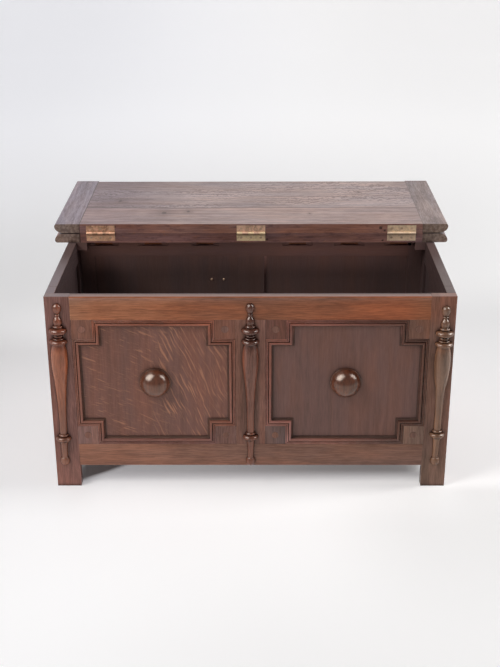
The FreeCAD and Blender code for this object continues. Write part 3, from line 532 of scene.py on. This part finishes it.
def brass(name, bright, clean=0.5):
    """Old brass: dull reddish yellow metal, tarnished in patches and bright where it is rubbed."""
    material, shader, surface = new_material(name)
    place = shader.node("TexCoord").outputs["Object"]
    rubbed = shader.remap(shader.noise(place, 60, 4, 0.65), 0.38, 0.60)
    tarnish = shader.remap(shader.noise(place, 45, 3, 0.6), 0.54, 0.68)
    dull = toned(bright, [part + (0.8 - part) * clean for part in (0.52, 0.44, 0.38)])
    metal = shader.mix(rubbed, dull, colour(*bright))
    metal = shader.mix(shader.times(tarnish, 0.75 - 0.45 * clean), metal, colour(0.20, 0.095, 0.06))
    shader.feed(surface.inputs["Base Color"], metal)
    shader.feed(surface.inputs["Roughness"], shader.remap(rubbed, 0, 1, 0.55, 0.32))
    height = shader.noise(place, 260, 3, 0.6)
    bump = shader.node("Bump", Strength=0.4, Distance=0.0006, Height=height).outputs[0]
    shader.feed(surface.inputs["Normal"], bump)
    surface.inputs["Metallic"].default_value = 0.2
    return material


def steel(name):
    """Greyed steel of old screws."""
    material, shader, surface = new_material(name)
    place = shader.node("TexCoord").outputs["Object"]
    rust = shader.remap(shader.noise(place, 150, 4, 0.6), 0.45, 0.65)
    metal = shader.mix(rust, colour(0.3, 0.29, 0.28), colour(0.12, 0.07, 0.05))
    shader.feed(surface.inputs["Base Color"], metal)
    shader.feed(surface.inputs["Roughness"], shader.remap(rust, 0, 1, 0.38, 0.7))
    surface.inputs["Metallic"].default_value = 0.9
    return material


# Boards that keep their CAD shape: a grain direction, a look and slightly rounded arrises


def grain_axis(name):
    """The way that the grain of a framed piece runs."""
    if "rail" in name or "board" in name:
        return "y" if name.startswith("end_") else "x"
    if "cleat" in name or name.startswith("leaf_batten"):
        return "y"
    return "z"


def look_of(name):
    if name.startswith(("front_leaf", "rear_leaf")):
        return "leaf"
    if name.startswith(("bottom_", "leaf_batten")):
        return "inner"
    if "panel" in name:
        return "panel"
    return "frame"


def round_arrises(piece, width):
    """Soften the sharp edges of a piece, with flat faces kept flat."""
    weld = piece.modifiers.new("weld", "WELD")
    weld.merge_threshold = 1e-6
    bevel = piece.modifiers.new("arris", "BEVEL")
    bevel.width = width
    bevel.segments = 2
    bevel.limit_method = "ANGLE"
    bevel.angle_limit = math.radians(50)
    bevel.harden_normals = True


BOARD_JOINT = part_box("front_leaf_board_narrow")[1].y
CLEAT_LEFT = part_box("front_leaf_cleat_left")[1].x
CLEAT_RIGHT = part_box("front_leaf_cleat_right")[0].x
MUNTIN_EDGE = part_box("back_muntin")[1].x
LEAF_SEAMS = (
    seam(Y, BOARD_JOINT, 3.5 * MM, 0.6),
    seam(X, CLEAT_LEFT, strength=0.9),
    seam(X, CLEAT_RIGHT, strength=0.5),
)
CLEAT_GAP = seam(X, CLEAT_LEFT, 2.5 * MM, 0.9)
LOWER_RUN = (0.13, 0.18)
UPPER_RUN = (0.40, 0.44)
VASE_FOOT = (0.14, 0.27)

# Tints of each board, from one end to the other: stain and wear, and painted light and shade where marked
FIGURES = {
    "front_panel_left": (ray_fleck,),
    "front_top_rail": (
        below_top(fade(X, -0.40, 0.42, (1.12, 1.17, 1.21), (0.90, 0.84, 0.80))),
        below_top(fade(X, -0.44, -0.36, (1.14, 1.36, 1.52), (1.14, 1.14, 1.10))),
        below_top(fade(X, -0.28, -0.20, last=(0.92, 0.92, 0.93))),
        below_top(fade(X, -0.20, -0.10, last=(0.74, 0.74, 0.79))),
        below_top(fade(X, 0.04, 0.14, last=(1.36, 1.30, 1.22))),
        below_top(fade(X, 0.36, 0.42, last=(0.87, 1.0, 1.07))),
        # Painted sheen: the rail's face greyer towards its top edge
        below_top(fade(Z, 0.488, 0.504, last=(0.87, 0.97, 1.10))),
        below_top(fade(Z, 0.502, 0.511, last=(1.0, 1.18, 1.55))),
        on_top(fade(Y, -0.384, -0.379, (1.15, 1.0, 0.90), (0.45, 0.38, 0.36))),
    ),
    "front_bottom_rail": (fade(X, -0.40, 0.42, (1.17, 1.11, 1.05), (0.83, 0.89, 0.95)),),
    # Painted light on the muntin's right edge, lifting the baluster's cast shadow
    "front_muntin": (fade(X, 0.018, 0.026, last=(1.24, 1.16, 1.13)),),
    "front_stile_left": (fade(Z, 0.05, 0.15, first=(1.12, 1.10, 1.04)),),
    "front_stile_right": (
        fade(Z, 0.42, 0.48, last=(1.28, 1.02, 0.86)),
        fade(X, 0.446, 0.453, first=(0.80, 0.82, 0.81)),
        fade(Z, 0.05, 0.15, first=(1.04, 1.12, 1.04)),
    ),
    "corner_pellets": (fade(X, -0.2, 0.1, (1.12, 1.08, 1.08), (0.86, 0.86, 0.84)),),
    "corner_blocks_left": (
        fade(X, -0.30, -0.12, (1.05, 1.03, 0.97), (0.88, 0.85, 0.82)),
        fade(Z, 0.2, 0.4, (1.0, 1.08, 1.14), (1.0, 0.94, 0.86)),
        beyond(Z, 0.28, 0.30, fade(X, -0.2, -0.1, last=(0.98, 0.90, 0.82))),
    ),
    "corner_blocks_right": (
        fade(X, 0.12, 0.32, (0.70, 0.67, 0.66), (0.93, 0.95, 0.82)),
        fade(Z, 0.2, 0.4, (0.98, 1.14, 1.18), (1.02, 0.91, 0.84)),
        beyond(Z, 0.28, 0.30, fade(X, 0.12, 0.32, (1.08, 1.01, 0.97), (0.90, 0.91, 0.89))),
        beyond(Z, 0.30, 0.28, fade(X, 0.12, 0.32, (0.83, 0.89, 0.93), (1.2, 1.17, 1.1))),
    ),
    "panel_moulding_left": (
        fade(Z, *LOWER_RUN, first=(0.78, 0.86, 1.02)),
        fade(Z, *UPPER_RUN, last=(1.15, 1.0, 0.90)),
    ),
    "panel_moulding_right": (
        fade(X, 0.12, 0.40, (1.22, 1.2, 1.22), (0.56, 0.60, 0.58)),
        fade(Z, *LOWER_RUN, first=(1.12, 1.28, 1.38)),
        fade(Z, *UPPER_RUN, last=(0.95, 0.85, 0.80)),
    ),
    "rear_leaf_board": (
        edge_shade_patches, at_hinges(fade(X, -0.05, 0.05, last=(0.95, 1.10, 1.22))),
        chip(0.043, 0.524, 4.5 * MM), chip(0.352, 0.522, 4 * MM), CLEAT_GAP,
    ),
    "rear_leaf_cleat_left": (end_grain, CLEAT_GAP),
    "rear_leaf_cleat_right": (end_grain,),
    "front_leaf_board_narrow": (
        edge_shade_patches, at_hinges(fade(X, -0.05, 0.05, (1.16, 1.22, 1.20), (0.98, 1.06, 1.10))),
        # Painted light: the board darker at its left end and lighter towards the middle, where the sheen
        # falls
        fade(X, -0.42, -0.16, (0.95, 0.94, 1.02), (1.22, 1.22, 1.20)), *LEAF_SEAMS,
        knot(-0.239, 0.100, 7 * MM), knot(-0.173, 0.112, 5 * MM), knot(0.16, 0.092, 3 * MM),
        chip(0.346, 0.557, 6 * MM), chip(0.357, 0.549, 4 * MM), chip(-0.362, 0.560, 3 * MM),
    ),
    "front_leaf_board_wide": (
        # Painted light: the board darker at its left end and lighter towards the middle, where the sheen
        # falls
        fade(X, -0.42, -0.14, (0.76, 0.74, 0.82), (1.20, 1.23, 1.24)), *LEAF_SEAMS,
        knot(0.31, 0.30, 4 * MM), knot(-0.37, 0.213, 6 * MM),
    ),
    "front_leaf_cleat_left": (end_grain, seam(X, CLEAT_LEFT)),
    "front_leaf_cleat_right": (mottled, end_grain, seam(X, CLEAT_RIGHT, strength=0.45)),
}
BALUSTER_FADES = {
    "baluster_left": (
        fade(Z, 0.395, 0.375, first=(0.60, 0.60, 0.72)),
        fade(Z, *VASE_FOOT, first=(0.60, 0.74, 0.95)),
    ),
    "baluster_centre": (
        fade(Z, 0.395, 0.375, first=(0.62, 0.66, 0.72)),
        fade(Z, *VASE_FOOT, first=(0.9, 0.98, 1.05)),
    ),
    "baluster_right": (
        fade(Z, 0.385, 0.365, first=(1.2, 1.14, 1.12)),
        fade(Z, *VASE_FOOT, first=(1.0, 0.95, 0.9)),
    ),
}
# Painted light and shade inside the back: darker at the left and at the right end, lighter at the top where
# light reaches under the leaf
BACK_INSIDE_LIGHT_AND_SHADE = (
    inside(fade(X, -0.05, 0.15, (0.68, 0.70, 0.69), (0.86, 0.84, 0.81))),
    inside(fade(X, 0.24, 0.42, last=(0.74, 0.77, 0.80))),
    inside(fade(Z, 0.44, 0.48, last=(1.25, 1.22, 1.22))),
)
# Painted light on the panel beside the muntin, lifting the muntin's cast shadow
LIGHT_BESIDE_MUNTIN = inside(fade(X, MUNTIN_EDGE + 2 * MM, MUNTIN_EDGE + 10 * MM, first=(2.0, 1.95, 1.95)))
# Painted shade on the ends' inner faces
END_INSIDE_SHADE = inside(tinted(0.44, 0.39, 0.41))
# Tints of the painted sheen on the end rails' tops at the front; behind, it turns darker
END_RIM_SHEEN = {"left": (0.82, 0.84, 0.91), "right": (0.64, 0.64, 0.62)}


def figures_of(name):
    """The figures of a board; the back's and the ends' follow from where they stand."""
    if name == "back_panel_right":
        return (*BACK_INSIDE_LIGHT_AND_SHADE, LIGHT_BESIDE_MUNTIN)
    if name.startswith("back_"):
        return BACK_INSIDE_LIGHT_AND_SHADE
    if name.startswith("end_"):
        side = name.rsplit("_", 1)[1]
        return END_INSIDE_SHADE, on_top(fade(Y, -0.35, -0.05, END_RIM_SHEEN[side], (0.48, 0.42, 0.41)))
    return FIGURES.get(name, ())


# The tint of each piece's wood against its look
TINTS = {
    "front_top_rail": (1.91, 1.70, 1.33),
    "front_bottom_rail": (1.31, 1.63, 2.0),
    "front_stile_left": (1.37, 1.59, 2.34),
    "front_stile_right": (1.24, 1.62, 2.16),
    "front_muntin": (1.06, 1.33, 1.8),
    "corner_blocks_left": (1.24, 1.59, 2.4),
    "corner_blocks_right": (1.18, 1.53, 2.35),
    "corner_pellets": (1.15, 1.48, 2.05),
    "front_panel_left": (1.36, 1.49, 1.71),
    "front_panel_right": (1.16, 1.41, 1.74),
    "panel_moulding_left": (1.50, 1.58, 1.98),
    "panel_moulding_right": (1.26, 1.38, 1.88),
    "baluster_left": (2.30, 1.95, 1.75),
    "baluster_centre": (1.30, 1.2, 1.35),
    "baluster_right": (1.12, 1.65, 2.0),
    "boss_left": (0.80, 0.72, 0.72),
    "boss_right": (0.82, 0.74, 0.74),
    "front_leaf_cleat_left": (0.92, 1.01, 1.24),
    "front_leaf_cleat_right": (1.0, 1.06, 1.08),
    "front_leaf_board_narrow": (1.08, 1.06, 1.05),
    "rear_leaf_board": (0.99, 0.97, 1.03),
    "rear_leaf_cleat_left": (0.95, 1.0, 1.2),
    "rear_leaf_cleat_right": (0.90, 1.0, 1.15),
}


ARRIS = 0.8 * MM
METAL_WORDS = ("hinge", "screws")
SHARP_PIECES = ("baluster", "boss", "panel_moulding", "back_panel")


def dress_boards():
    """Oak on every board, each with a seed of its own, and raw wood where it was never polished."""
    for number, (name, piece) in enumerate(sorted(nodes_of_frame.items()), 1):
        if any(word in name for word in METAL_WORDS):
            continue
        look = look_of(name)
        raw_side = {}
        if look == "leaf":
            raw_side = {"rings": wavy_rings if name.endswith("wide") else faint_rings, "second": "underside",
                        "mask": facing_up(1 if name.startswith("front") else -1)}
        elif look != "inner":
            raw_side = {"second": "inner", "mask": within_chest}
        piece.material_slots[0].material = oak(f"oak_{name}", look, grain_axis(name), number,
                                               TINTS.get(name, PLAIN), figures_of(name), **raw_side)
        if not name.startswith(SHARP_PIECES):
            round_arrises(piece, ARRIS)


# Pieces turned and moulded in finer detail than their CAD solids


class Profile:
    """A half section as heights and radii in millimetres, drawn from its foot up."""

    def __init__(self, height, radius=0.0):
        self.points = [(height, radius)]

    def line(self, height, radius):
        self.points.append((height, radius))
        return self

    def bead(self, top, radius, end_radius=None, steps=10):
        """A half-round swelling to a radius, up to a height."""
        foot, start_radius = self.points[-1]
        end_radius = start_radius if end_radius is None else end_radius
        for step in range(1, steps + 1):
            turn = math.pi * step / steps
            base = start_radius if turn < math.pi / 2 else end_radius
            height = (foot + top) / 2 - (top - foot) / 2 * math.cos(turn)
            self.points.append((height, base + (radius - base) * math.sin(turn)))
        return self

    def curve(self, *points, steps=6):
        """A smooth curve through the points."""
        knots = [Vector(self.points[-1]), *(Vector(point) for point in points)]
        knots = [knots[0] * 2 - knots[1], *knots, knots[-1] * 2 - knots[-2]]
        for before, start, end, after in zip(knots, knots[1:], knots[2:], knots[3:]):
            for step in range(1, steps + 1):
                t = step / steps
                point = 0.5 * (2 * start + (end - before) * t
                               + (2 * before - 5 * start + 4 * end - after) * t ** 2
                               + (3 * start - before - 3 * end + after) * t ** 3)
                self.points.append(tuple(point))
        return self

    def dome(self, top, steps=16):
        """A quarter of an ellipse in to the axis."""
        foot, radius = self.points[-1]
        for step in range(1, steps + 1):
            turn = math.pi / 2 * step / steps
            self.points.append((foot + (top - foot) * math.sin(turn), radius * math.cos(turn)))
        return self


def new_piece(name, bm, material, smooth_degrees=40):
    """A finished mesh as an object, smooth except at sharp edges."""
    mesh = bpy.data.meshes.new(name)
    bm.normal_update()
    bm.to_mesh(mesh)
    bm.free()
    for face in mesh.polygons:
        face.use_smooth = True
    mesh.set_sharp_from_angle(angle=math.radians(smooth_degrees))
    mesh.materials.append(material)
    piece = bpy.data.objects.new(name, mesh)
    bpy.context.scene.collection.objects.link(piece)
    return piece


def turned_mesh(points, sweep, segments):
    """A turning about Z; a sweep of half a turn leaves a flat back on the plane y = 0."""
    bm = bmesh.new()
    whole = sweep > math.pi * 1.5
    columns = segments if whole else segments + 1
    rows = []
    for height, radius in points:
        if radius < 0.01:
            rows.append([bm.verts.new((0, 0, height * MM))] * columns)
            continue
        ring = []
        for step in range(columns):
            angle = math.pi + sweep * step / segments
            place = Vector((radius * math.cos(angle), radius * math.sin(angle), height))
            ring.append(bm.verts.new(place * MM))
        rows.append(ring)
    for lower, upper in zip(rows, rows[1:]):
        for step in range(segments):
            after = (step + 1) % columns
            corners = [lower[step], lower[after], upper[after], upper[step]]
            corners = list(dict.fromkeys(corners))
            if len(corners) > 2:
                bm.faces.new(corners)
    if not whole:
        outline = [row[-1] for row in rows] + [row[0] for row in reversed(rows) if row[0] != row[-1]]
        bm.faces.new(list(dict.fromkeys(outline)))
    bmesh.ops.recalc_face_normals(bm, faces=bm.faces)
    return bm


def baluster_profile(foot, ring, top):
    """A split baluster: ball foot, stem, ringed ankle, vase, two collars with beads, bulb and finial."""
    profile = Profile(foot).bead(foot + 23.5, 11.7, 7.8, 14)
    profile.curve((foot + 29, 7.6), (ring - 34, 8.2), (ring - 17, 9.3), (ring - 13.5, 9.8))
    profile.bead(ring - 9.5, 11.8, 9.6, 6).line(ring - 8.5, 10.0).line(ring - 7.5, 14.0)
    profile.bead(ring + 3.5, 19.3, 13.0, 12).line(ring + 4.5, 9.8).bead(ring + 10.5, 12.6, 8.8, 8)
    profile.curve((ring + 16, 9.4), (ring + 28, 9.4), (ring + 52, 9.6), (ring + 90, 10.6), (ring + 125, 12.9),
                  (top - 199, 15.8), (top - 178, 18.4), (top - 152, 20.4), (top - 134, 20.2),
                  (top - 118, 18.4), (top - 107, 16.2), (top - 104, 15.8))
    profile.line(top - 103.2, 17.0).bead(top - 92.4, 21.8, 14.5, 12).line(top - 91.8, 11.8)
    profile.bead(top - 87.6, 14.2, 9.6, 8).line(top - 87, 8.8).bead(top - 80, 11.6, 8.6, 8)
    profile.line(top - 78.4, 9.0).line(top - 76.8, 13.5).bead(top - 63.2, 22.0, 15.0, 14)
    profile.line(top - 61.6, 10.6).bead(top - 56, 12.8, 9.2, 8)
    profile.curve((top - 54.4, 9.0), (top - 51, 10.4), (top - 45.5, 10.7), (top - 40, 9.2), (top - 35.5, 6.4),
                  (top - 33.2, 4.9), (top - 31.4, 4.7))
    profile.bead(top - 26.8, 6.8, 4.7, 6)
    finial = 12.2
    for degrees in range(-62, 91, 8):
        angle = math.radians(degrees)
        rise = finial if degrees > 0 else 15.0
        profile.line(top - finial + rise * math.sin(angle), 10.7 * math.cos(angle))
    return profile.line(top, 0.0).points


def make_balusters():
    """One on each stile and one on the muntin; the outer two lean a little, as planted by hand."""
    for name, foot_x, ring, lean, seed in (
        ("baluster_left", -467, 140, 0.9, 71),
        ("baluster_centre", 0, 145, 0.0, 72),
        ("baluster_right", 462, 151, 0.5, 73),
    ):
        low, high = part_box(name)
        foot = low.z / MM
        top = (high.z - low.z) / MM
        bm = turned_mesh(baluster_profile(0, ring - foot, top), math.pi, 40)
        turn = Matrix.Rotation(math.radians(lean), 4, "Y")
        bmesh.ops.transform(bm, verts=bm.verts,
                            matrix=Matrix.Translation((foot_x * MM, FRONT_FACE, low.z)) @ turn)
        wood = oak(f"oak_{name}_turned", "turned", "z", seed, TINTS[name], BALUSTER_FADES[name])
        piece = new_piece(f"{name}_turned", bm, wood)
        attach(piece, "carcase")
        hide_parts(name)


def make_bosses():
    """Domed bosses, each with a thin upright rim and a quirk under the dome."""
    for seed, name in enumerate(("boss_left", "boss_right"), 81):
        low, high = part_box(name)
        middle = (low + high) / 2
        radius = (high.x - low.x) / 2 / MM
        height = (PANEL_FACE - low.y) / MM
        profile = Profile(0).line(0, radius).line(1.6, radius).bead(3.4, radius, radius - 1.4, 4)
        profile.line(3.6, radius - 2.4).line(4.2, radius - 1.9).dome(height, 24)
        bm = turned_mesh(profile.points, math.tau, 72)
        place = Matrix.Translation((middle.x, PANEL_FACE, middle.z)) @ Matrix.Rotation(math.pi / 2, 4, "X")
        bmesh.ops.transform(bm, matrix=place, verts=bm.verts)
        wood = oak(f"oak_{name}_turned", "turned", "z", seed, TINTS[name], rough=(0.12, 0.18), ior=1.72,
                   gloss=colour(1, 0.88, 0.78))
        piece = new_piece(f"{name}_turned", bm, wood)
        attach(piece, "carcase")
        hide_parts(name)


# Millimetres, as in the section below
BLOCK = 50
MOULDING_WIDTH = 20
PANEL_DEPTH = (PANEL_FACE - FRONT_FACE) / MM
HOLLOW = (4.6, 5.0)
HOLLOW_STEPS = 6
QUIRKS_BEYOND = (0.6, 17.2)


def half_round(start, end, base, rise, steps=6):
    """Points of a half-round reed across the moulding."""
    middle = (start + end) / 2
    return [(middle - (end - start) / 2 * math.cos(math.pi * step / steps),
             base + rise * math.sin(math.pi * step / steps)) for step in range(steps + 1)]


def moulding_section():
    """Across from the frame to the panel, and out from the frame's face: two reeds, a ridge and a hollow."""
    section = [(0.0, -PANEL_DEPTH), (0.0, -0.9)]
    section += half_round(0.3, 4.0, -1.1, 1.3)
    section += half_round(4.2, 7.8, -1.1, 1.4)
    section += [(8.2, -2.6), (8.7, -2.4)]
    section += half_round(8.9, 15.2, 0.0, 2.5, 8)
    width, depth = HOLLOW
    for step in range(HOLLOW_STEPS + 1):
        turn = math.pi / 2 * step / HOLLOW_STEPS
        section.append((MOULDING_WIDTH - width * math.cos(turn), -0.6 - depth * math.sin(turn)))
    section += [(MOULDING_WIDTH, -PANEL_DEPTH)]
    return section


def cross_corners(low, high):
    """Corners of the cross between four corner blocks, anticlockwise seen from the front."""
    block = BLOCK * MM
    return [
        (low.x, low.z + block), (low.x + block, low.z + block), (low.x + block, low.z),
        (high.x - block, low.z), (high.x - block, low.z + block), (high.x, low.z + block),
        (high.x, high.z - block), (high.x - block, high.z - block), (high.x - block, high.z),
        (low.x + block, high.z), (low.x + block, high.z - block), (low.x, high.z - block),
    ]


def make_mouldings():
    """Reeded moulding mitred round each panel."""
    section = moulding_section()
    quirks = {number for number, (across, out) in enumerate(section)
              if across < QUIRKS_BEYOND[0] or across > QUIRKS_BEYOND[1]}
    for seed, side in enumerate(("left", "right"), 91):
        node = f"panel_moulding_{side}"
        low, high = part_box(node)
        corners = [Vector((x, 0, z)) for x, z in cross_corners(low, high)]
        bm = bmesh.new()
        rails = []
        for number, corner in enumerate(corners):
            before = (corner - corners[number - 1]).normalized()
            after = (corners[(number + 1) % len(corners)] - corner).normalized()
            inward = Vector((-before.z - after.z, 0, before.x + after.x))
            rails.append([bm.verts.new(corner + inward * across * MM + Vector((0, FRONT_FACE - out * MM, 0)))
                          for across, out in section])
        for number, rail in enumerate(rails):
            following = rails[(number + 1) % len(rails)]
            for step in range(len(section)):
                after = (step + 1) % len(section)
                face = bm.faces.new((rail[step], following[step], following[after], rail[after]))
                along = corners[(number + 1) % len(corners)] - corners[number]
                face.material_index = 1 if abs(along.z) > abs(along.x) else 0
                if section[step][1] < -0.9 and section[after][1] < -0.5 or {step, after} <= quirks:
                    face.material_index = 2
        bmesh.ops.recalc_face_normals(bm, faces=bm.faces)
        tint = TINTS[node]
        figures = FIGURES[node]
        level = oak(f"oak_{node}_level", "frame", "x", seed, tint, figures, rough=(0.20, 0.30))
        upright = oak(f"oak_{node}_upright", "frame", "z", seed + 0.5, tint, figures, rough=(0.20, 0.30))
        # Dark faces in the grooves and along the moulding's edges: painted shade, partly grime; the painted
        # shade is lighter on the upper run, where more light falls
        dark = [channel * 0.30 for channel in tint]
        less_shade_above = fade(Z, 0.405, 0.425, last=(2.0, 1.9, 1.8))
        quirk = oak(f"oak_{node}_quirk", "frame", "x", seed, dark, (less_shade_above,), rough=(0.5, 0.6))
        piece = new_piece(f"{node}_reeded", bm, level, 35)
        piece.data.materials.append(upright)
        piece.data.materials.append(quirk)
        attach(piece, "carcase")
        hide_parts(node)


# The rubbed colour of each hinge plate, and how clean it is from 0 to 1
BRASSES = {
    "hinge_moving_plate_left": ((0.85, 0.50, 0.33), 0.0),
    "hinge_moving_plate_centre": ((1.0, 0.65, 0.46), 0.5),
    "hinge_moving_plate_right": ((1.0, 0.74, 0.49), 0.9),
    "hinge_fixed_plate_left": ((1.0, 0.58, 0.36), 0.7),
    "hinge_fixed_plate_centre": ((1.0, 0.76, 0.46), 1.0),
    "hinge_fixed_plate_right": ((1.0, 0.74, 0.52), 1.0),
}


def dress_metal():
    """Brass hinges, redder at the left, and brass and steel screws."""
    steel_look = steel("old_steel")
    plain_brass = brass("old_brass", (0.80, 0.55, 0.38))
    for name, piece in nodes_of_frame.items():
        if name in ("batten_screws", "pocket_screws"):
            piece.material_slots[0].material = steel_look
        elif name in BRASSES:
            piece.material_slots[0].material = brass(f"brass_{name}", *BRASSES[name])
        elif name.startswith("hinge") or name == "back_panel_screws":
            piece.material_slots[0].material = plain_brass


# Studio: a pale floor that rises far away, a soft sky, two softboxes with a card each and a strip


FLOOR_RADIUS = 6.0
WALL_CURVE = 3.0
WALL_TOP = 4.5
TURNS = 96
FLOOR_RINGS = 8
CURVE_RINGS = 12
TOWARDS_CAMERA = (-1.3, -3.6, 1.0, 0.35)


def floor_mesh():
    """A round floor that curves up into a wall."""
    rings = [(FLOOR_RADIUS * step / FLOOR_RINGS, 0.0) for step in range(1, FLOOR_RINGS + 1)]
    for step in range(1, CURVE_RINGS + 1):
        angle = math.pi / 2 * step / CURVE_RINGS
        rings.append((FLOOR_RADIUS + WALL_CURVE * math.sin(angle), WALL_CURVE * (1 - math.cos(angle))))
    rings.append((FLOOR_RADIUS + WALL_CURVE, WALL_TOP))
    bm = bmesh.new()
    loops = []
    for distance, height in rings:
        loops.append([bm.verts.new((distance * math.cos(math.tau * turn / TURNS),
                                    distance * math.sin(math.tau * turn / TURNS), height))
                      for turn in range(TURNS)])
    bm.faces.new(loops[0])
    for inner, outer in zip(loops, loops[1:]):
        for turn in range(TURNS):
            after = (turn + 1) % TURNS
            bm.faces.new((inner[turn], outer[turn], outer[after], inner[after]))
    bmesh.ops.recalc_face_normals(bm, faces=bm.faces)
    return bm


def floor_glow(shader, place):
    """How strongly the floor glows, as if lit evenly from far away, with the chest's soft shades on it."""
    x, y, z = shader.split(place)
    distance = shader.length(place)
    near = shader.remap(distance, 0.45, 1.3, 0.15, 0.0)
    far = shader.remap(distance, 1.2, 4.0, 0.22, 0.46)
    glow = shader.times(shader.add(near, far), shader.remap(x, -2.0, 1.5, 0.86, 1.01))
    # Painted light in front of the chest, at the front left and far behind it; painted shadows of the chest
    # at the front right, under it, in a wedge beside the left foot and at the back left
    before_chest = shader.times(shader.band(y, (-0.32, -0.365), (-0.62, -0.42)),
                                shader.band(x, (-0.45, -0.36), (0.56, 0.46)))
    left_front = shader.times(shader.remap(x, 0.1, -0.5), shader.remap(y, -0.50, -1.0))
    right_front = shader.times(shader.remap(x, 0.10, 0.45), shader.band(y, (-0.37, -0.43), (-1.1, -0.5)))
    under_chest = shader.times(shader.band(y, (-0.36, -0.31), (0.09, 0.02)),
                               shader.band(x, (-0.44, -0.42), (0.46, 0.43)),
                               shader.remap(x, -0.35, 0.42, 0.07, 0.24))
    from_left_foot = shader.add(shader.math("DIVIDE", shader.add(x, 0.425), 0.075),
                                shader.math("DIVIDE", shader.subtract(-0.307, y), 0.060))
    wedge = shader.times(shader.remap(from_left_foot, 1.25, 0.7), shader.remap(x, -0.47, -0.46),
                         shader.remap(y, 0.0, -0.1))
    glow = shader.add(glow, shader.times(before_chest, 0.05), shader.times(left_front, 0.06),
                      shader.times(right_front, -0.12), shader.times(under_chest, -1.0),
                      shader.times(wedge, -0.32))
    glow = shader.math("MAXIMUM", glow, 0.0)
    left_back = shader.times(shader.remap(x, -0.2, -0.9), shader.band(y, (-0.4, 0.6), (2.2, 0.8)))
    behind_chest = shader.times(shader.band(x, (-1.5, -0.3), (1.3, 0.1)), shader.remap(y, 1.5, 3.0))
    glow = shader.add(glow, shader.times(left_back, -0.08), shader.times(behind_chest, 0.042))
    dark_room = shader.times(shader.remap(z, 0.5, 2.2), shader.remap(y, 1.5, -1.5))
    dark_room = shader.remap(dark_room, 0, 1, 1.0, 0.35, smooth=False)
    return shader.times(glow, shader.remap(y, *TOWARDS_CAMERA), dark_room)


def make_floor():
    """The pale floor and wall, darker on the side of the camera and dark there above eye level."""
    material, shader, surface = new_material("floor_white")
    surface.inputs["Roughness"].default_value = 0.8
    surface.inputs["Specular IOR Level"].default_value = 0.1
    place = shader.node("TexCoord").outputs["Object"]
    x, y, _ = shader.split(place)
    pale = shader.mix(shader.remap(y, *TOWARDS_CAMERA), colour(0.28, 0.28, 0.285), colour(0.80, 0.795, 0.79))
    tone = shader.mix(shader.remap(x, -1.6, 1.0), colour(0.97, 0.975, 1.04), colour(1.0, 0.985, 0.985))
    shader.feed(surface.inputs["Base Color"], pale)
    shader.feed(surface.inputs["Emission Color"], tone)
    shader.feed(surface.inputs["Emission Strength"], floor_glow(shader, place))
    new_piece("floor", floor_mesh(), material, 60)


def make_world():
    world = bpy.data.worlds.new("studio")
    world.use_nodes = True
    background = world.node_tree.nodes["Background"]
    background.inputs["Color"].default_value = colour(0.95, 0.96, 1.0)
    background.inputs["Strength"].default_value = 0.24
    bpy.context.scene.world = world


def strip_inside():
    """A faint strip behind the front rim that lifts the top of the chest's back out of the leaf's shade."""
    data = bpy.data.lights.new("strip_inside", "AREA")
    data.shape = "RECTANGLE"
    data.size = 0.88
    data.size_y = 0.012
    data.energy = 0.095
    data.spread = math.radians(19)
    data.color = (1.0, 0.96, 0.93)
    lamp = bpy.data.objects.new("strip_inside", data)
    bpy.context.scene.collection.objects.link(lamp)
    lamp.location = (0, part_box("front_top_rail")[1].y + 0.004, RIM_TOP - 0.046)
    lamp.rotation_euler = (math.pi / 2, 0, 0)
    lamp.visible_camera = False
    lamp.visible_glossy = False


def softbox(name, place, width, height, watts, tone=PLAIN, only_glossy=False):
    """A rectangular lamp aimed at the chest; one that is only glossy is a card that shows in polish alone."""
    data = bpy.data.lights.new(name, "AREA")
    data.shape = "RECTANGLE"
    data.size = width
    data.size_y = height
    data.energy = watts
    data.color = tone
    lamp = bpy.data.objects.new(name, data)
    bpy.context.scene.collection.objects.link(lamp)
    lamp.location = place
    lamp.rotation_euler = (Vector((0, 0, 0.3)) - Vector(place)).to_track_quat("-Z", "Y").to_euler()
    lamp.visible_camera = False
    lamp.visible_diffuse = not only_glossy
    lamp.visible_glossy = only_glossy


def make_studio():
    make_floor()
    make_world()
    strip_inside()
    softbox("softbox_left", (-2.95, -2.15, 3.5), 1.5, 1.8, 100, (1.0, 0.98, 0.95))
    softbox("softbox_right", (3.7, -0.15, 3.1), 1.1, 1.6, 95)
    softbox("card_left", (-3.0, -1.75, 3.6), 3.4, 3.8, 340, (1.0, 0.99, 0.97), True)
    softbox("card_right", (3.65, -0.1, 3.0), 2.2, 2.8, 260, PLAIN, True)
    view = bpy.context.scene.view_settings
    view.view_transform = "Standard"
    view.look = "None"


make_camera()
dress_boards()
dress_metal()
make_mouldings()
make_bosses()
make_balusters()
make_studio()
